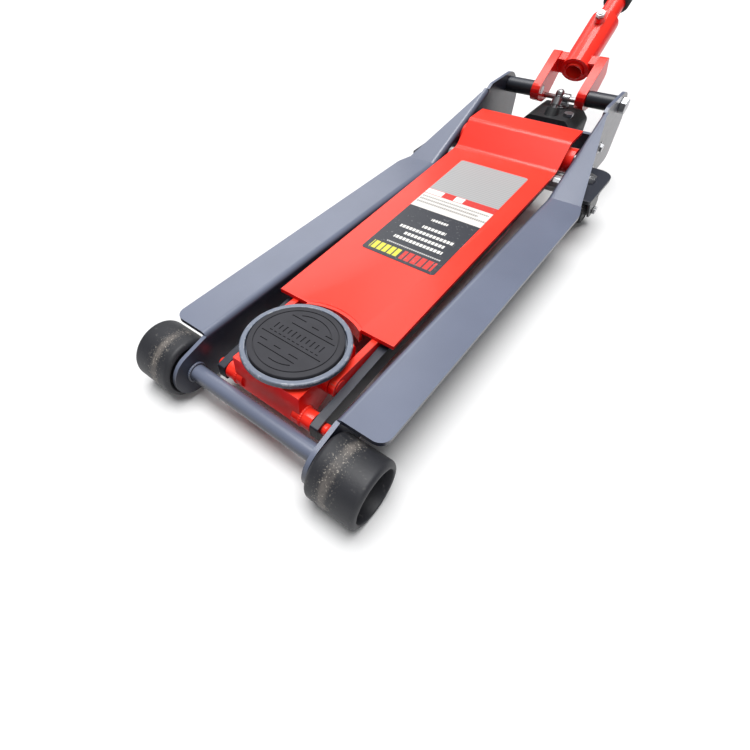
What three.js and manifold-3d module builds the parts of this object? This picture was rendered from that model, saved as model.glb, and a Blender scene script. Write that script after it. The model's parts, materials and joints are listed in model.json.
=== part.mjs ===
// A low-profile hydraulic floor jack. Two flanged side plates stand on front wheels and rear casters.
// A lift arm and two link rods form a parallelogram that keeps the saddle level, a ram pushes the arm's
// lugs, and a hinged handle works the pump and turns the release valve.
// Millimetres. X is across, Y runs from the front axle to the rear, Z is up and the floor is Z = 0.
import * as THREE from "three";
import { mergeVertices } from "three/addons/utils/BufferGeometryUtils.js";
import Module from "manifold-3d";

const wasm = await Module();
wasm.setup();

// Whole jack
const overallLength = 1622; // front of the wheels to the end of the lowered handle
const gap = 0.3; // between pieces that touch
const play = 0.4; // round a pin that turns

// Side plates: a web and an outward flange folded from one sheet
const sheet = 5;
const webInside = 90;
const webOutside = webInside + sheet;
const webBottom = 8;
const deckHeight = 75.4;
const flangeOutside = 142.9;
const flangeFront = 24.5;
const foldRadius = 8;
const rampStart = 512;
const rampSlope = 0.43;
const flangeTaper = 0.26;
const taperStart = 488;
const frameTop = 147;
const frameEnd = 800;
const archTop = 60; // lower edge of the web over the casters

// Front wheels and axle
const axleHeight = 36;
const wheelRadius = 36;
const wheelInside = 97;
const wheelOutside = 154;
const axleTubeRadius = 10;
const axleRadius = 7;

// Pivots of the lift linkage, as [y, z]
const armPivot = [600, 92];
const yokePivot = [70, 54];
const linkOffset = [-41, -18]; // from a pivot of the arm to the same pivot of the link rods
const ramOffset = [24, -52]; // from the arm's pivot to the ram pin
const linkFront = [yokePivot[0] + linkOffset[0], yokePivot[1] + linkOffset[1]];
const linkRear = [armPivot[0] + linkOffset[0], armPivot[1] + linkOffset[1]];
const ramPin = [armPivot[0] + ramOffset[0], armPivot[1] + ramOffset[1]];

// Lift arm and link rods
const cheekInside = 52.5;
const cheekOutside = 60.5;
const rodInside = 61.5;
const rodOutside = 71.5;
const topPlateHalf = 80;
const topPlateFront = 135.4;
const topPlateHeight = 71.7;
const topPlateSlope = Math.tan(THREE.MathUtils.degToRad(2.5));
const armTubeRadius = 18;
const armShaftRadius = 12.5;
const pinRadius = 7;

// Saddle and its yoke
const saddleCentre = 72;
const saddleRadius = 60;
const saddleRim = 82;
const padRadius = 52;
const padTop = 84;
const stemRadius = 14;
const yokeHalf = 46;
const yokeFront = 21.8;
const yokeRear = 115;
const yokeTop = 70;

// Power unit
const ramHeight = 37.3;
const ramRadius = 13;
const cylinderRadius = 27;
const cylinderFront = 648;
const crossPlateFront = 706;
const crossPlateThick = 8;
const blockFront = crossPlateFront + crossPlateThick + gap;
const blockRear = 790;
const blockHalf = 45;
const blockTop = 100;
const blockBottom = 14;
const springAt = 43; // the return springs' distance from the middle

// Handle socket and handle
const socketPivot = [748, 128];
const handleAngle = THREE.MathUtils.degToRad(30); // above the floor, lowered
const rollerOffset = [22, -14];
const rollerRadius = 8;
const plungerAt = 772;
const handleRadius = 15;
const gripRadius = 18;
const gripChamfer = 2;
const handleStart = 44; // along the handle, from the socket's pivot
const handleJoint = 500;
const handleReach = overallLength - wheelRadius - socketPivot[0]; // level, to the end of the lowered handle
const handleEnd = (handleReach - (gripRadius - gripChamfer) * Math.sin(handleAngle)) / Math.cos(handleAngle);

// Rear casters
const casterAt = [118, 588];
const casterTrail = 20;
const casterRadius = 25;
const forkWaist = 58; // above this height the fork stays within its crown, clear of the arch in the web
const crownRadius = 22;

// Paints and metals
const finish = (color, roughness, metalness) => new THREE.MeshStandardMaterial({ color, roughness, metalness });
const framePaint = () => finish(0x4a5166, 0.38, 0.3);
const redPaint = () => finish(0xe2231a, 0.35, 0.1);
const blackSteel = () => finish(0x1c1e22, 0.5, 0.5);
const brightSteel = () => finish(0xb4b6b8, 0.28, 0.9);
const castIron = () => finish(0x2c2e31, 0.6, 0.6);
const rubber = () => finish(0x2a2a2c, 0.9, 0);
const wheelPlastic = () => finish(0x2b2a2a, 0.75, 0);

// ---- Shapes ----

// A closed outline through the corners [u, v, radius], each rounded by an arc of its own radius.
function outline(corners) {
  const shape = new THREE.Shape();
  corners.forEach(([u, v, radius = 0], i) => {
    const here = new THREE.Vector2(u, v);
    const last = corners[(i + corners.length - 1) % corners.length];
    const next = corners[(i + 1) % corners.length];
    const back = new THREE.Vector2(last[0], last[1]).sub(here).normalize();
    const ahead = new THREE.Vector2(next[0], next[1]).sub(here).normalize();
    if (radius > 0) {
      const half = Math.acos(THREE.MathUtils.clamp(back.dot(ahead), -1, 1)) / 2;
      const centre = back.clone().add(ahead).normalize().multiplyScalar(radius / Math.sin(half)).add(here);
      const from = back.multiplyScalar(radius / Math.tan(half)).add(here).sub(centre);
      const turnsRight = from.cross(here.clone().sub(centre)) < 0;
      const to = ahead.multiplyScalar(radius / Math.tan(half)).add(here).sub(centre);
      if (i > 0) shape.lineTo(centre.x + from.x, centre.y + from.y);
      shape.absarc(centre.x, centre.y, radius, from.angle(), to.angle(), turnsRight);
    } else if (i === 0) {
      shape.moveTo(u, v);
    } else {
      shape.lineTo(u, v);
    }
  });
  return shape;
}

// A circle as an outline.
function round(u, v, radius) {
  return new THREE.Shape().absarc(u, v, radius, 0, 2 * Math.PI, false);
}

const extrude = (shape, depth, steps) =>
  new THREE.ExtrudeGeometry(shape, { depth, bevelEnabled: false, curveSegments: steps });

// A plate lying flat, from height z0 to z1.
const flat = (shape, z0, z1, steps = 2) => extrude(shape, z1 - z0, steps).translate(0, 0, z0);

// A plate on edge along the jack, its outline in [y, z], from x0 to x1.
function lengthwise(shape, x0, x1, steps = 2) {
  const turn = new THREE.Matrix4().set(0, 0, 1, x0, 1, 0, 0, 0, 0, 1, 0, 0, 0, 0, 0, 1);
  return extrude(shape, x1 - x0, steps).applyMatrix4(turn);
}

// A plate across the jack, its outline in [x, z], from y0 to y1.
function crosswise(shape, y0, y1, steps = 2) {
  const turn = new THREE.Matrix4().set(1, 0, 0, 0, 0, 0, -1, y1, 0, 1, 0, 0, 0, 0, 0, 1);
  return extrude(shape, y1 - y0, steps).applyMatrix4(turn);
}

// A turned piece: [radius, height] points revolved about a line from a start point along a direction.
function turned(points, start, direction, steps = 16) {
  const profile = points.map(([radius, height]) => new THREE.Vector2(radius, height));
  const aim = new THREE.Quaternion().setFromUnitVectors(new THREE.Vector3(0, 1, 0), direction.clone().normalize());
  return new THREE.LatheGeometry(profile, steps).applyQuaternion(aim).translate(start.x, start.y, start.z);
}

const acrossX = new THREE.Vector3(1, 0, 0);
const upZ = new THREE.Vector3(0, 0, 1);

// A round bar between two points.
function bar(radius, from, to, steps = 12) {
  const direction = to.clone().sub(from);
  const length = direction.length();
  return turned([[0, 0], [radius, 0], [radius, length], [0, length]], from, direction, steps);
}

// A tube between two points.
function pipe(outer, inner, from, to, steps = 16) {
  const direction = to.clone().sub(from);
  const length = direction.length();
  const wall = [[inner, 0], [outer, 0], [outer, length], [inner, length], [inner, 0]];
  return turned(wall, from, direction, steps);
}

// A round bar across the jack at [y, z], from x0 to x1.
const crossBar = (radius, [y, z], x0, x1, steps = 12) =>
  bar(radius, new THREE.Vector3(x0, y, z), new THREE.Vector3(x1, y, z), steps);

const crossPipe = (outer, inner, [y, z], x0, x1, steps = 16) =>
  pipe(outer, inner, new THREE.Vector3(x0, y, z), new THREE.Vector3(x1, y, z), steps);

// A hexagon nut or bolt head along a direction, measured across its corners.
const hexagon = (corner, from, to) => bar(corner, from, to, 6);

// ---- Solids ----

// A geometry as a solid that can be joined and cut.
function solid(geometry) {
  const bare = geometry.clone();
  bare.deleteAttribute("normal");
  bare.deleteAttribute("uv");
  const merged = mergeVertices(bare, 1e-3);
  const index = merged.index.array;
  const corners = [];
  for (let i = 0; i < index.length; i += 3) {
    const [a, b, c] = index.subarray(i, i + 3);
    if (a !== b && b !== c && c !== a) corners.push(a, b, c);
  }
  const vertProperties = merged.attributes.position.array;
  return new wasm.Manifold(new wasm.Mesh({ numProp: 3, vertProperties, triVerts: new Uint32Array(corners) }));
}

const joined = (...pieces) => pieces.map(solid).reduce((whole, piece) => whole.add(piece));

const cut = (whole, ...tools) => tools.map(solid).reduce((rest, tool) => rest.subtract(tool), whole);

// A named mesh of a geometry or a solid.
function piece(name, shape, material) {
  const body = shape.isBufferGeometry ? solid(shape) : shape;
  const mesh = body.getMesh();
  const geometry = new THREE.BufferGeometry();
  geometry.setAttribute("position", new THREE.BufferAttribute(new Float32Array(mesh.vertProperties), 3));
  geometry.setIndex(new THREE.BufferAttribute(new Uint32Array(mesh.triVerts), 1));
  const faceted = geometry.toNonIndexed();
  faceted.computeVertexNormals();
  const made = new THREE.Mesh(faceted, material);
  made.name = name;
  return made;
}

// The same piece on both sides: built for the +X side, and mirrored for the -X side.
function pair(name, shape, material) {
  const right = piece(name + "_right", shape, material());
  const left = piece(name + "_left", shape, material());
  left.scale.x = -1;
  return [left, right];
}

// ---- Frame ----

function sidePlates() {
  const rampAngle = Math.atan(rampSlope);
  const rampEnd = 668;
  const rampHeight = (y) => deckHeight + rampSlope * (y - rampStart);
  const noseRadius = 28;
  const noseAngle = THREE.MathUtils.degToRad(13.9);
  const noseHeight = (y) => axleHeight + noseRadius / Math.cos(noseAngle) + y * Math.tan(noseAngle);
  const underFold = deckHeight - foldRadius + 0.3;
  const underRamp = (y) => rampHeight(y) - foldRadius / Math.cos(rampAngle) + 0.3;
  const web = outline([
    [-noseRadius, webBottom, noseRadius - 0.1],
    [-noseRadius, noseHeight(-noseRadius), noseRadius - 0.1],
    [flangeFront, noseHeight(flangeFront)],
    [flangeFront + 0.5, underFold],
    [rampStart + 2, underFold],
    [rampEnd, underRamp(rampEnd)],
    [rampEnd, rampHeight(rampEnd) - 1],
    [rampEnd + 10, frameTop, 12],
    [frameEnd - 35, frameTop, 42],
    [frameEnd, 96, 24],
    [frameEnd, 22, 14],
    [664, 16, 10],
    [642, archTop, 12],
    [540, archTop, 14],
    [508, webBottom, 16],
  ]);
  const fold = new THREE.Shape()
    .moveTo(webInside, -foldRadius)
    .absarc(webInside + foldRadius, -foldRadius, foldRadius, Math.PI, Math.PI / 2, true)
    .lineTo(webInside + foldRadius, -sheet)
    .absarc(webInside + foldRadius, -foldRadius, foldRadius - sheet, Math.PI / 2, Math.PI, false);
  const flangeInside = webInside + foldRadius - 0.3;
  const rampOutside = flangeOutside - flangeTaper * (rampStart - taperStart);
  const flange = outline([
    [flangeInside, flangeFront],
    [flangeOutside, flangeFront, 13],
    [flangeOutside, taperStart, 40],
    [rampOutside, rampStart],
    [flangeInside, rampStart],
  ]);
  const flangeRun = (rampOutside - flangeInside - 1) / flangeTaper / Math.cos(rampAngle);
  const overlap = 2.2;
  const rampFlange = outline([
    [flangeInside, -overlap],
    [rampOutside, -overlap],
    [flangeInside + 1, flangeRun],
    [flangeInside, flangeRun],
  ]);
  const onRamp = (geometry) => geometry.rotateX(rampAngle).translate(0, rampStart, deckHeight);
  const foldLength = rampStart - flangeFront;
  const rampLength = (rampEnd - rampStart) / Math.cos(rampAngle);
  const whole = joined(
    lengthwise(web, webInside, webOutside, 9),
    crosswise(fold, flangeFront, flangeFront + foldLength, 6).translate(0, 0, deckHeight),
    flat(flange, deckHeight - sheet, deckHeight, 8),
    onRamp(crosswise(fold, -overlap, rampLength, 6)),
    onRamp(flat(rampFlange, -sheet, 0)),
  );
  const drilled = cut(
    whole,
    crossBar(axleRadius + gap, [0, axleHeight], webInside - 1, webOutside + 1),
    crossBar(armShaftRadius + gap, armPivot, webInside - 1, webOutside + 1, 18),
    crossBar(pinRadius + gap, linkRear, webInside - 1, webOutside + 1),
    crossBar(pinRadius + gap, socketPivot, webInside - 1, webOutside + 1),
  );
  return pair("side_plate", drilled, framePaint);
}

function frontAxle() {
  const centre = [0, axleHeight];
  const end = wheelOutside - 20;
  const tube = crossPipe(axleTubeRadius, axleRadius + gap, centre, gap - webInside, webInside - gap);
  const shaft = joined(
    crossBar(axleRadius, centre, -end, end),
    crossBar(11, centre, end - 8, end - 4),
    crossBar(11, centre, 4 - end, 8 - end),
  );
  return [
    piece("front_axle_tube", tube, framePaint()),
    piece("front_axle_shaft", shaft, brightSteel()),
  ];
}

function frontWheels() {
  const bore = axleRadius + play;
  const shoulder = 5;
  const profile = new THREE.Path()
    .moveTo(bore, wheelInside + 10)
    .lineTo(26, wheelInside + 9)
    .lineTo(28.5, wheelInside + 0.6)
    .lineTo(wheelRadius - shoulder, wheelInside)
    .quadraticCurveTo(wheelRadius, wheelInside, wheelRadius, wheelInside + shoulder)
    .lineTo(wheelRadius, wheelOutside - shoulder)
    .quadraticCurveTo(wheelRadius, wheelOutside, wheelRadius - shoulder, wheelOutside)
    .lineTo(30, wheelOutside - 0.4)
    .lineTo(28.5, wheelOutside - 2)
    .lineTo(27.5, wheelOutside - 30)
    .lineTo(bore, wheelOutside - 29)
    .lineTo(bore, wheelInside + 10);
  const points = profile.getPoints(2).map((point) => [point.x, point.y]);
  return pair("front_wheel", turned(points, new THREE.Vector3(0, 0, axleHeight), acrossX, 28), wheelPlastic);
}

function crossPlate() {
  const shape = outline([
    [gap - webInside, 20, 6],
    [webInside - gap, 20, 6],
    [webInside - gap, 92, 6],
    [gap - webInside, 92, 6],
  ]);
  const hole = new THREE.Vector3(0, crossPlateFront - 1, ramHeight);
  const end = new THREE.Vector3(0, crossPlateFront + crossPlateThick + 1, ramHeight);
  const anchor = (x) =>
    bar(4, new THREE.Vector3(x, crossPlateFront - 6, ramPin[1]), new THREE.Vector3(x, crossPlateFront + 1, ramPin[1]));
  const whole = joined(
    crosswise(shape, crossPlateFront, crossPlateFront + crossPlateThick),
    anchor(springAt),
    anchor(-springAt),
  );
  return piece("power_unit_plate", cut(whole, bar(cylinderRadius + gap, hole, end, 20)), framePaint());
}

function armShaft() {
  const nutEnd = webOutside + 10;
  const nut = hexagon(
    14,
    new THREE.Vector3(webOutside + gap, ...armPivot),
    new THREE.Vector3(nutEnd, ...armPivot),
  );
  const thread = armShaftRadius - 3;
  const shaft = joined(
    crossBar(armShaftRadius, armPivot, -webOutside - gap, webOutside, 18),
    crossBar(14, armPivot, -nutEnd, -webOutside - gap, 6),
    crossBar(thread, armPivot, 0, nutEnd + 3),
  );
  const bored = cut(solid(nut), crossBar(thread + gap, armPivot, webOutside, nutEnd + 1));
  return [piece("arm_shaft", shaft, brightSteel()), piece("arm_shaft_nut", bored, brightSteel())];
}

// Stub pins in the webs that the rear ends of the link rods turn on, with a collar on each.
function rodRearPins() {
  const pins = joined(
    crossBar(pinRadius, linkRear, rodInside + 0.2, webOutside - 0.5),
    crossBar(pinRadius + 5, linkRear, rodOutside + 0.6, webInside - gap),
  );
  return pair("rod_rear_pin", pins, brightSteel);
}

// ---- Casters ----

function casterPlates() {
  const shape = outline([
    [webOutside + gap, rampStart + 18],
    [flangeOutside - 0.4, rampStart + 18, 3],
    [flangeOutside - 0.4, 634, 22],
    [webOutside + gap, 634],
  ]);
  const whole = solid(flat(shape, deckHeight - sheet, deckHeight, 3));
  const hole = bar(6 + gap, new THREE.Vector3(...casterAt, 60), new THREE.Vector3(...casterAt, 80));
  return pair("caster_plate", cut(whole, hole), blackSteel);
}

function casters() {
  const [x, y] = casterAt;
  const top = deckHeight - sheet;
  const at = (z) => new THREE.Vector3(x, y, z);
  const kingpin = joined(
    bar(6, at(54), at(deckHeight + 10)),
    bar(9.5, at(53.5), at(57.4)),
    hexagon(11, at(deckHeight + gap), at(deckHeight + 8)),
  );
  const legs = outline([
    [y - 14, 65, 3],
    [y + 22, 65, 3],
    [y + casterTrail + 11, casterRadius + 4, 8],
    [y + casterTrail + 11, casterRadius - 9, 8],
    [y + casterTrail - 11, casterRadius - 9, 8],
    [y - 14, 48, 6],
  ]);
  const hub = [y + casterTrail, casterRadius];
  const crown = joined(
    bar(crownRadius, at(forkWaist), at(65.6), 18),
    bar(18, at(65), at(top - gap), 18),
    lengthwise(legs, x - 18.5, x - 15.5),
    lengthwise(legs, x + 15.5, x + 18.5),
  );
  const skirt = new THREE.CylinderGeometry(crownRadius, 60, forkWaist, 40);
  const within = joined(
    bar(crownRadius, at(forkWaist), at(top), 40),
    skirt.rotateX(Math.PI / 2).translate(x, y, forkWaist / 2),
  );
  const fork = cut(
    crown.intersect(within),
    bar(6 + play, at(50), at(top + 1)),
    crossBar(4 + gap, hub, x - 20, x + 20, 12),
  );
  const axle = joined(
    crossBar(4, hub, x - 23, x + 22, 12),
    hexagon(6.5, new THREE.Vector3(x + 18.5 + gap, ...hub), new THREE.Vector3(x + 23, ...hub)),
    hexagon(6.5, new THREE.Vector3(x - 23, ...hub), new THREE.Vector3(x - 18.5 - gap, ...hub)),
  );
  const tread = [
    [4 + play, -13],
    [9, -13],
    [10, -11],
    [21, -11],
    [casterRadius - 1.5, -9.5],
    [casterRadius, -7],
    [casterRadius, 7],
    [casterRadius - 1.5, 9.5],
    [21, 11],
    [10, 11],
    [9, 13],
    [4 + play, 13],
    [4 + play, -13],
  ];
  const wheel = turned(tread, new THREE.Vector3(x, ...hub), acrossX, 20);
  return [
    ...pair("caster_kingpin", kingpin, brightSteel),
    ...pair("caster_fork", fork, blackSteel),
    ...pair("caster_axle", axle, brightSteel),
    ...pair("caster_wheel", wheel, wheelPlastic),
  ];
}

// ---- Lift arm, link rods, yoke and saddle ----

const underTopPlate = (y) => topPlateHeight - sheet + topPlateSlope * (y - topPlateFront);

function armCheeks() {
  const hump = armPivot[0] + 26;
  const cheek = outline([
    [yokePivot[0] - 12, yokePivot[1] + 12, 11.9],
    [topPlateFront, underTopPlate(topPlateFront) - gap],
    [564, underTopPlate(564) - 1, 6],
    [597, 118.3, 8],
    [hump, 118.3, 23],
    [hump, 66, 25],
    [572, 60, 20],
    [470, 24, 60],
    [200, 22, 80],
    [yokePivot[0] - 12, yokePivot[1] - 12, 11.9],
  ]);
  const body = cut(
    solid(lengthwise(cheek, cheekInside, cheekOutside)),
    crossBar(armTubeRadius + gap, armPivot, cheekInside - 1, cheekOutside + 1, 20),
    crossBar(8 + gap, yokePivot, cheekInside - 1, cheekOutside + 1),
  );
  return pair("arm_cheek", body, redPaint);
}

// The plate over the arm: nearly flat, humped over the pivot, and scooped down behind the saddle.
function armTopPlate() {
  const top = (y) => topPlateHeight + topPlateSlope * (y - topPlateFront);
  const humpTop = 124;
  const sheetCentre = [
    [topPlateFront, top(topPlateFront)],
    [556, top(556)],
    [588, humpTop],
    [632, humpTop],
  ];
  const upper = sheetCentre.map(([y, z], i) => [y, z, i === 1 || i === 2 ? 12 : 0]);
  const lower = [
    [632, humpTop - sheet],
    [590, humpTop - sheet, 8],
    [558, top(558) - sheet, 16],
    [topPlateFront, top(topPlateFront) - sheet],
  ];
  const plate = solid(lengthwise(outline([...upper, ...lower]), -topPlateHalf, topPlateHalf, 2));
  const scoopRadius = saddleRadius + 16;
  const scoopHalf = 38;
  const scoop = new THREE.CylinderGeometry(scoopRadius, scoopRadius, 60, 64).rotateX(Math.PI / 2);
  const window = new THREE.BoxGeometry(2 * scoopHalf, 60, 60).translate(0, 150, topPlateHeight);
  const opening = solid(scoop.translate(0, saddleCentre, topPlateHeight)).intersect(solid(window));
  const lipFrom = new THREE.Vector3(0, saddleCentre, 55);
  const lipTo = new THREE.Vector3(0, saddleCentre, top(140) - 0.4);
  const ring = pipe(scoopRadius + 0.4, scoopRadius - 4.6, lipFrom, lipTo, 64);
  const lip = solid(ring).intersect(solid(window));
  return piece("arm_top_plate", plate.subtract(opening).add(lip), redPaint());
}

// A plate across the arm between its cheeks.
function armBrace() {
  const half = cheekInside - gap;
  const front = 330;
  const top = underTopPlate(front) - 1;
  const shape = outline([
    [-half, 32, 4],
    [half, 32, 4],
    [half, top],
    [-half, top],
  ]);
  return piece("arm_brace", crosswise(shape, front, front + 6), redPaint());
}

// The tube that the arm turns on, with the two lugs that the ram pushes.
function armTube() {
  const lug = outline([
    [armPivot[0] - 24, armPivot[1] + 22, 20],
    [armPivot[0] + 24, armPivot[1] + 22, 20],
    [ramPin[0] + 14, ramPin[1] - 14, 13.5],
    [ramPin[0] - 14, ramPin[1] - 14, 13.5],
  ]);
  const half = webInside - 1;
  const whole = joined(
    crossBar(armTubeRadius, armPivot, -half, half, 20),
    lengthwise(lug, 20, 30),
    lengthwise(lug, -30, -20),
  );
  const body = cut(
    whole,
    crossBar(armShaftRadius + play, armPivot, -webOutside, webOutside, 18),
    crossBar(pinRadius + gap, ramPin, -35, 35),
  );
  return piece("arm_pivot_tube", body, redPaint());
}

// The pin that the ram pushes, with a spring's eye on each end.
function ramPinPiece() {
  const eye = joined(
    crossBar(pinRadius + 3, ramPin, springAt - 1.6, springAt + 1.6),
    lengthwise(outline([
      [ramPin[0], ramPin[1] - 2],
      [ramPin[0] + 11.5, ramPin[1] - 2],
      [ramPin[0] + 11.5, ramPin[1] + 2],
      [ramPin[0], ramPin[1] + 2],
    ]), springAt - 1.6, springAt + 1.6),
  );
  const eyes = eye.add(eye.mirror([1, 0, 0]));
  return piece("ram_pin", solid(crossBar(pinRadius, ramPin, -48, 48)).add(eyes), brightSteel());
}

function yokePins() {
  return pair("yoke_pin", crossBar(8, yokePivot, 30, cheekOutside + 0.6), brightSteel);
}

function linkRods() {
  const line = [linkFront, [131, 47], [300, 59], [540, 71.5], linkRear];
  const half = [11.4, 12, 12, 10.3, 12];
  const above = line.map(([y, z], i) => [y, z + half[i]]);
  const below = line.map(([y, z], i) => [y, z - half[i]]);
  const [frontTop, ...restTop] = above;
  const [frontBottom, ...restBottom] = below;
  const rearTop = restTop.pop();
  const rearBottom = restBottom.pop();
  const rod = outline([
    [frontTop[0] - 11, frontTop[1] - 3, 2],
    [frontTop[0] + 2, frontTop[1], 3],
    ...restTop.map((point) => [...point, 120]),
    [rearTop[0] + 12, rearTop[1], 11.2],
    [rearBottom[0] + 12, rearBottom[1], 11.2],
    ...restBottom.reverse().map((point) => [...point, 120]),
    [frontBottom[0] - 11, frontBottom[1], 4],
  ]);
  const body = cut(
    solid(lengthwise(rod, rodInside, rodOutside, 4)),
    crossBar(6 + 0.5, linkFront, rodInside - 1, rodOutside + 1),
    crossBar(pinRadius + play, linkRear, rodInside - 1, rodOutside + 1),
  );
  return pair("link_rod", body, blackSteel);
}

// Domed pins that join the front ends of the link rods to the yoke.
function linkPins() {
  const head = rodOutside + 0.5;
  const dome = turned(
    [[0, 0], [6.5, 0], [6.5, 4], [5, 6], [2.6, 7.2], [0, 7.5]],
    new THREE.Vector3(head, ...linkFront),
    acrossX,
    16,
  );
  const pin = joined(crossBar(6, linkFront, yokeHalf - 8, head + 1), dome);
  return pair("link_pin", pin, redPaint);
}

function saddleYoke() {
  const wall = 10;
  const side = outline([
    [yokeFront, yokeTop, 2],
    [yokeRear, yokeTop, 4],
    [yokeRear, 50, 8],
    [yokePivot[0] + 10, 38, 12],
    [linkFront[0] + 14, 24, 10],
    [yokeFront, 24, 4],
  ]);
  const front = outline([[-yokeHalf, 24, 3], [yokeHalf, 24, 3], [yokeHalf, yokeTop, 2], [-yokeHalf, yokeTop, 2]]);
  const deck = outline([[-yokeHalf, yokeFront + 1], [yokeHalf, yokeFront + 1], [yokeHalf, yokeRear, 4], [-yokeHalf, yokeRear, 4]]);
  const at = (z) => new THREE.Vector3(0, saddleCentre, z);
  const whole = joined(
    lengthwise(side, yokeHalf - wall, yokeHalf),
    lengthwise(side, -yokeHalf, wall - yokeHalf),
    crosswise(front, yokeFront, yokeFront + wall),
    flat(deck, yokeTop - wall - 2, yokeTop),
    bar(22, at(42), at(yokeTop - 1), 18),
    crossBar(11, linkFront, yokeHalf - wall, cheekOutside, 16),
    crossBar(11, linkFront, -cheekOutside, wall - yokeHalf, 16),
    crossBar(13, yokePivot, yokeHalf - wall, cheekInside - 0.5, 16),
    crossBar(13, yokePivot, 0.5 - cheekInside, wall - yokeHalf, 16),
  );
  const body = cut(
    whole,
    bar(stemRadius + play, at(20), at(yokeTop + 10), 18),
    crossBar(6 + gap, linkFront, yokeHalf - 9, 70),
    crossBar(6 + gap, linkFront, -70, 9 - yokeHalf),
    crossBar(8 + play, yokePivot, 29, 70),
    crossBar(8 + play, yokePivot, -70, -29),
  );
  return piece("saddle_yoke", body, redPaint());
}

function saddle() {
  const seat = yokeTop + gap;
  const profile = [
    [0, 32],
    [stemRadius, 32],
    [stemRadius, 36],
    [stemRadius - 2, 36],
    [stemRadius - 2, 39],
    [stemRadius, 39],
    [stemRadius, seat],
    [42, seat],
    [56, 73],
    [saddleRadius - 1, 74.5],
    [saddleRadius, 76],
    [saddleRadius, saddleRim - 1.5],
    [saddleRadius - 1.5, saddleRim],
    [padRadius + 2, saddleRim],
    [padRadius + 1, saddleRim - 1],
    [padRadius + 1, 76],
    [0, 76],
  ];
  const pad = [
    [0, 76 + gap],
    [padRadius, 76 + gap],
    [padRadius, padTop - 1.5],
    [padRadius - 1.5, padTop],
    [46, padTop],
    [45.5, padTop - 1],
    [44.5, padTop - 1],
    [44, padTop],
    [0, padTop],
  ];
  const at = new THREE.Vector3(0, saddleCentre, 0);
  const ring = pipe(
    stemRadius + 4,
    stemRadius - 2 + gap,
    new THREE.Vector3(0, saddleCentre, 36 + gap),
    new THREE.Vector3(0, saddleCentre, 39 - gap),
  );
  return [
    piece("saddle_cup", turned(profile, at, upZ, 32), framePaint()),
    piece("saddle_pad", turned(pad, at, upZ, 32), rubber()),
    piece("saddle_snap_ring", ring, brightSteel()),
  ];
}

// ---- Power unit ----

const onRam = (y, z = ramHeight) => new THREE.Vector3(0, y, z);

function cylinder() {
  const bore = 20;
  const tube = pipe(cylinderRadius, bore, onRam(cylinderFront), onRam(blockFront - gap), 20);
  const gland = pipe(24, ramRadius + play, onRam(cylinderFront - 6), onRam(cylinderFront - gap), 18);
  return [piece("ram_cylinder", tube, blackSteel()), piece("cylinder_gland", gland, brightSteel())];
}

function ram() {
  const rest = 697; // front face of the piston, lowered
  const rod = joined(
    bar(ramRadius, onRam(ramPin[0] + 17 + gap), onRam(rest + 1), 16),
    bar(19.6, onRam(rest), onRam(rest + 14), 18),
  );
  const front = ramPin[0] - 14;
  const rear = ramPin[0] + 17;
  const head = outline([
    [front, ramHeight - 16, 5],
    [rear, ramHeight - 16, 5],
    [rear, ramHeight + 16, 5],
    [front, ramHeight + 16, 5],
  ]);
  const slot = outline([
    [ramPin[0] - 7.6, ramHeight - 10.4, 6],
    [ramPin[0] + 7.6, ramHeight - 10.4, 6],
    [ramPin[0] + 7.6, ramHeight + 10.4, 6],
    [ramPin[0] - 7.6, ramHeight + 10.4, 6],
  ]);
  const fork = cut(solid(lengthwise(head, -19, 19)), lengthwise(slot, -20, 20, 2));
  return [piece("ram_rod", rod, brightSteel()), piece("ram_head", fork, castIron())];
}

// The release valve's spindle leans back so that its joint sits on the socket's pivot.
const spindleDirection = new THREE.Vector3(0, Math.cos(Math.PI / 3), Math.sin(Math.PI / 3));
const onSpindle = (s) => new THREE.Vector3(0, ...socketPivot).addScaledVector(spindleDirection, s);

function pumpBlock() {
  const shape = outline([
    [-blockHalf, blockBottom, 6],
    [blockHalf, blockBottom, 6],
    [blockHalf, 84, 10],
    [30, blockTop, 6],
    [-30, blockTop, 6],
    [-blockHalf, 84, 10],
  ]);
  const boss = bar(11, onSpindle(-42), onSpindle(-24), 16);
  const at = (z) => new THREE.Vector3(0, plungerAt, z);
  const body = cut(
    joined(crosswise(shape, blockFront, blockRear), boss),
    bar(9 + play, at(40), at(blockTop + 5), 16),
    bar(5 + play, onSpindle(-50), onSpindle(-20), 20),
    bar(6 + gap, new THREE.Vector3(26, 738, 84), new THREE.Vector3(26, 738, blockTop + 1)),
  );
  const plug = joined(
    bar(6, new THREE.Vector3(26, 738, 86), new THREE.Vector3(26, 738, blockTop + 1)),
    hexagon(8, new THREE.Vector3(26, 738, blockTop + gap), new THREE.Vector3(26, 738, blockTop + 5)),
  );
  const collar = pipe(13, 9 + play, at(blockTop + gap), at(blockTop + 2.6), 16);
  return [
    piece("pump_block", body, castIron()),
    piece("filler_plug", plug, brightSteel()),
    piece("plunger_gland", collar, brightSteel()),
  ];
}

function plunger() {
  const at = (z) => new THREE.Vector3(0, plungerAt, z);
  const top = socketPivot[1] + rollerOffset[1] - rollerRadius - 1;
  const body = joined(bar(9, at(50), at(top), 16), bar(10, at(top - 1.2), at(top), 16));
  return piece("pump_plunger", body, brightSteel());
}

function releaseSpindle() {
  const fork = bar(8, onSpindle(-18), onSpindle(-8), 20);
  const ball = new THREE.SphereGeometry(7, 12, 8).translate(0, ...socketPivot);
  const body = joined(bar(5, onSpindle(-46), onSpindle(-6), 20), fork, ball);
  return piece("release_spindle", body, brightSteel());
}

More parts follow.
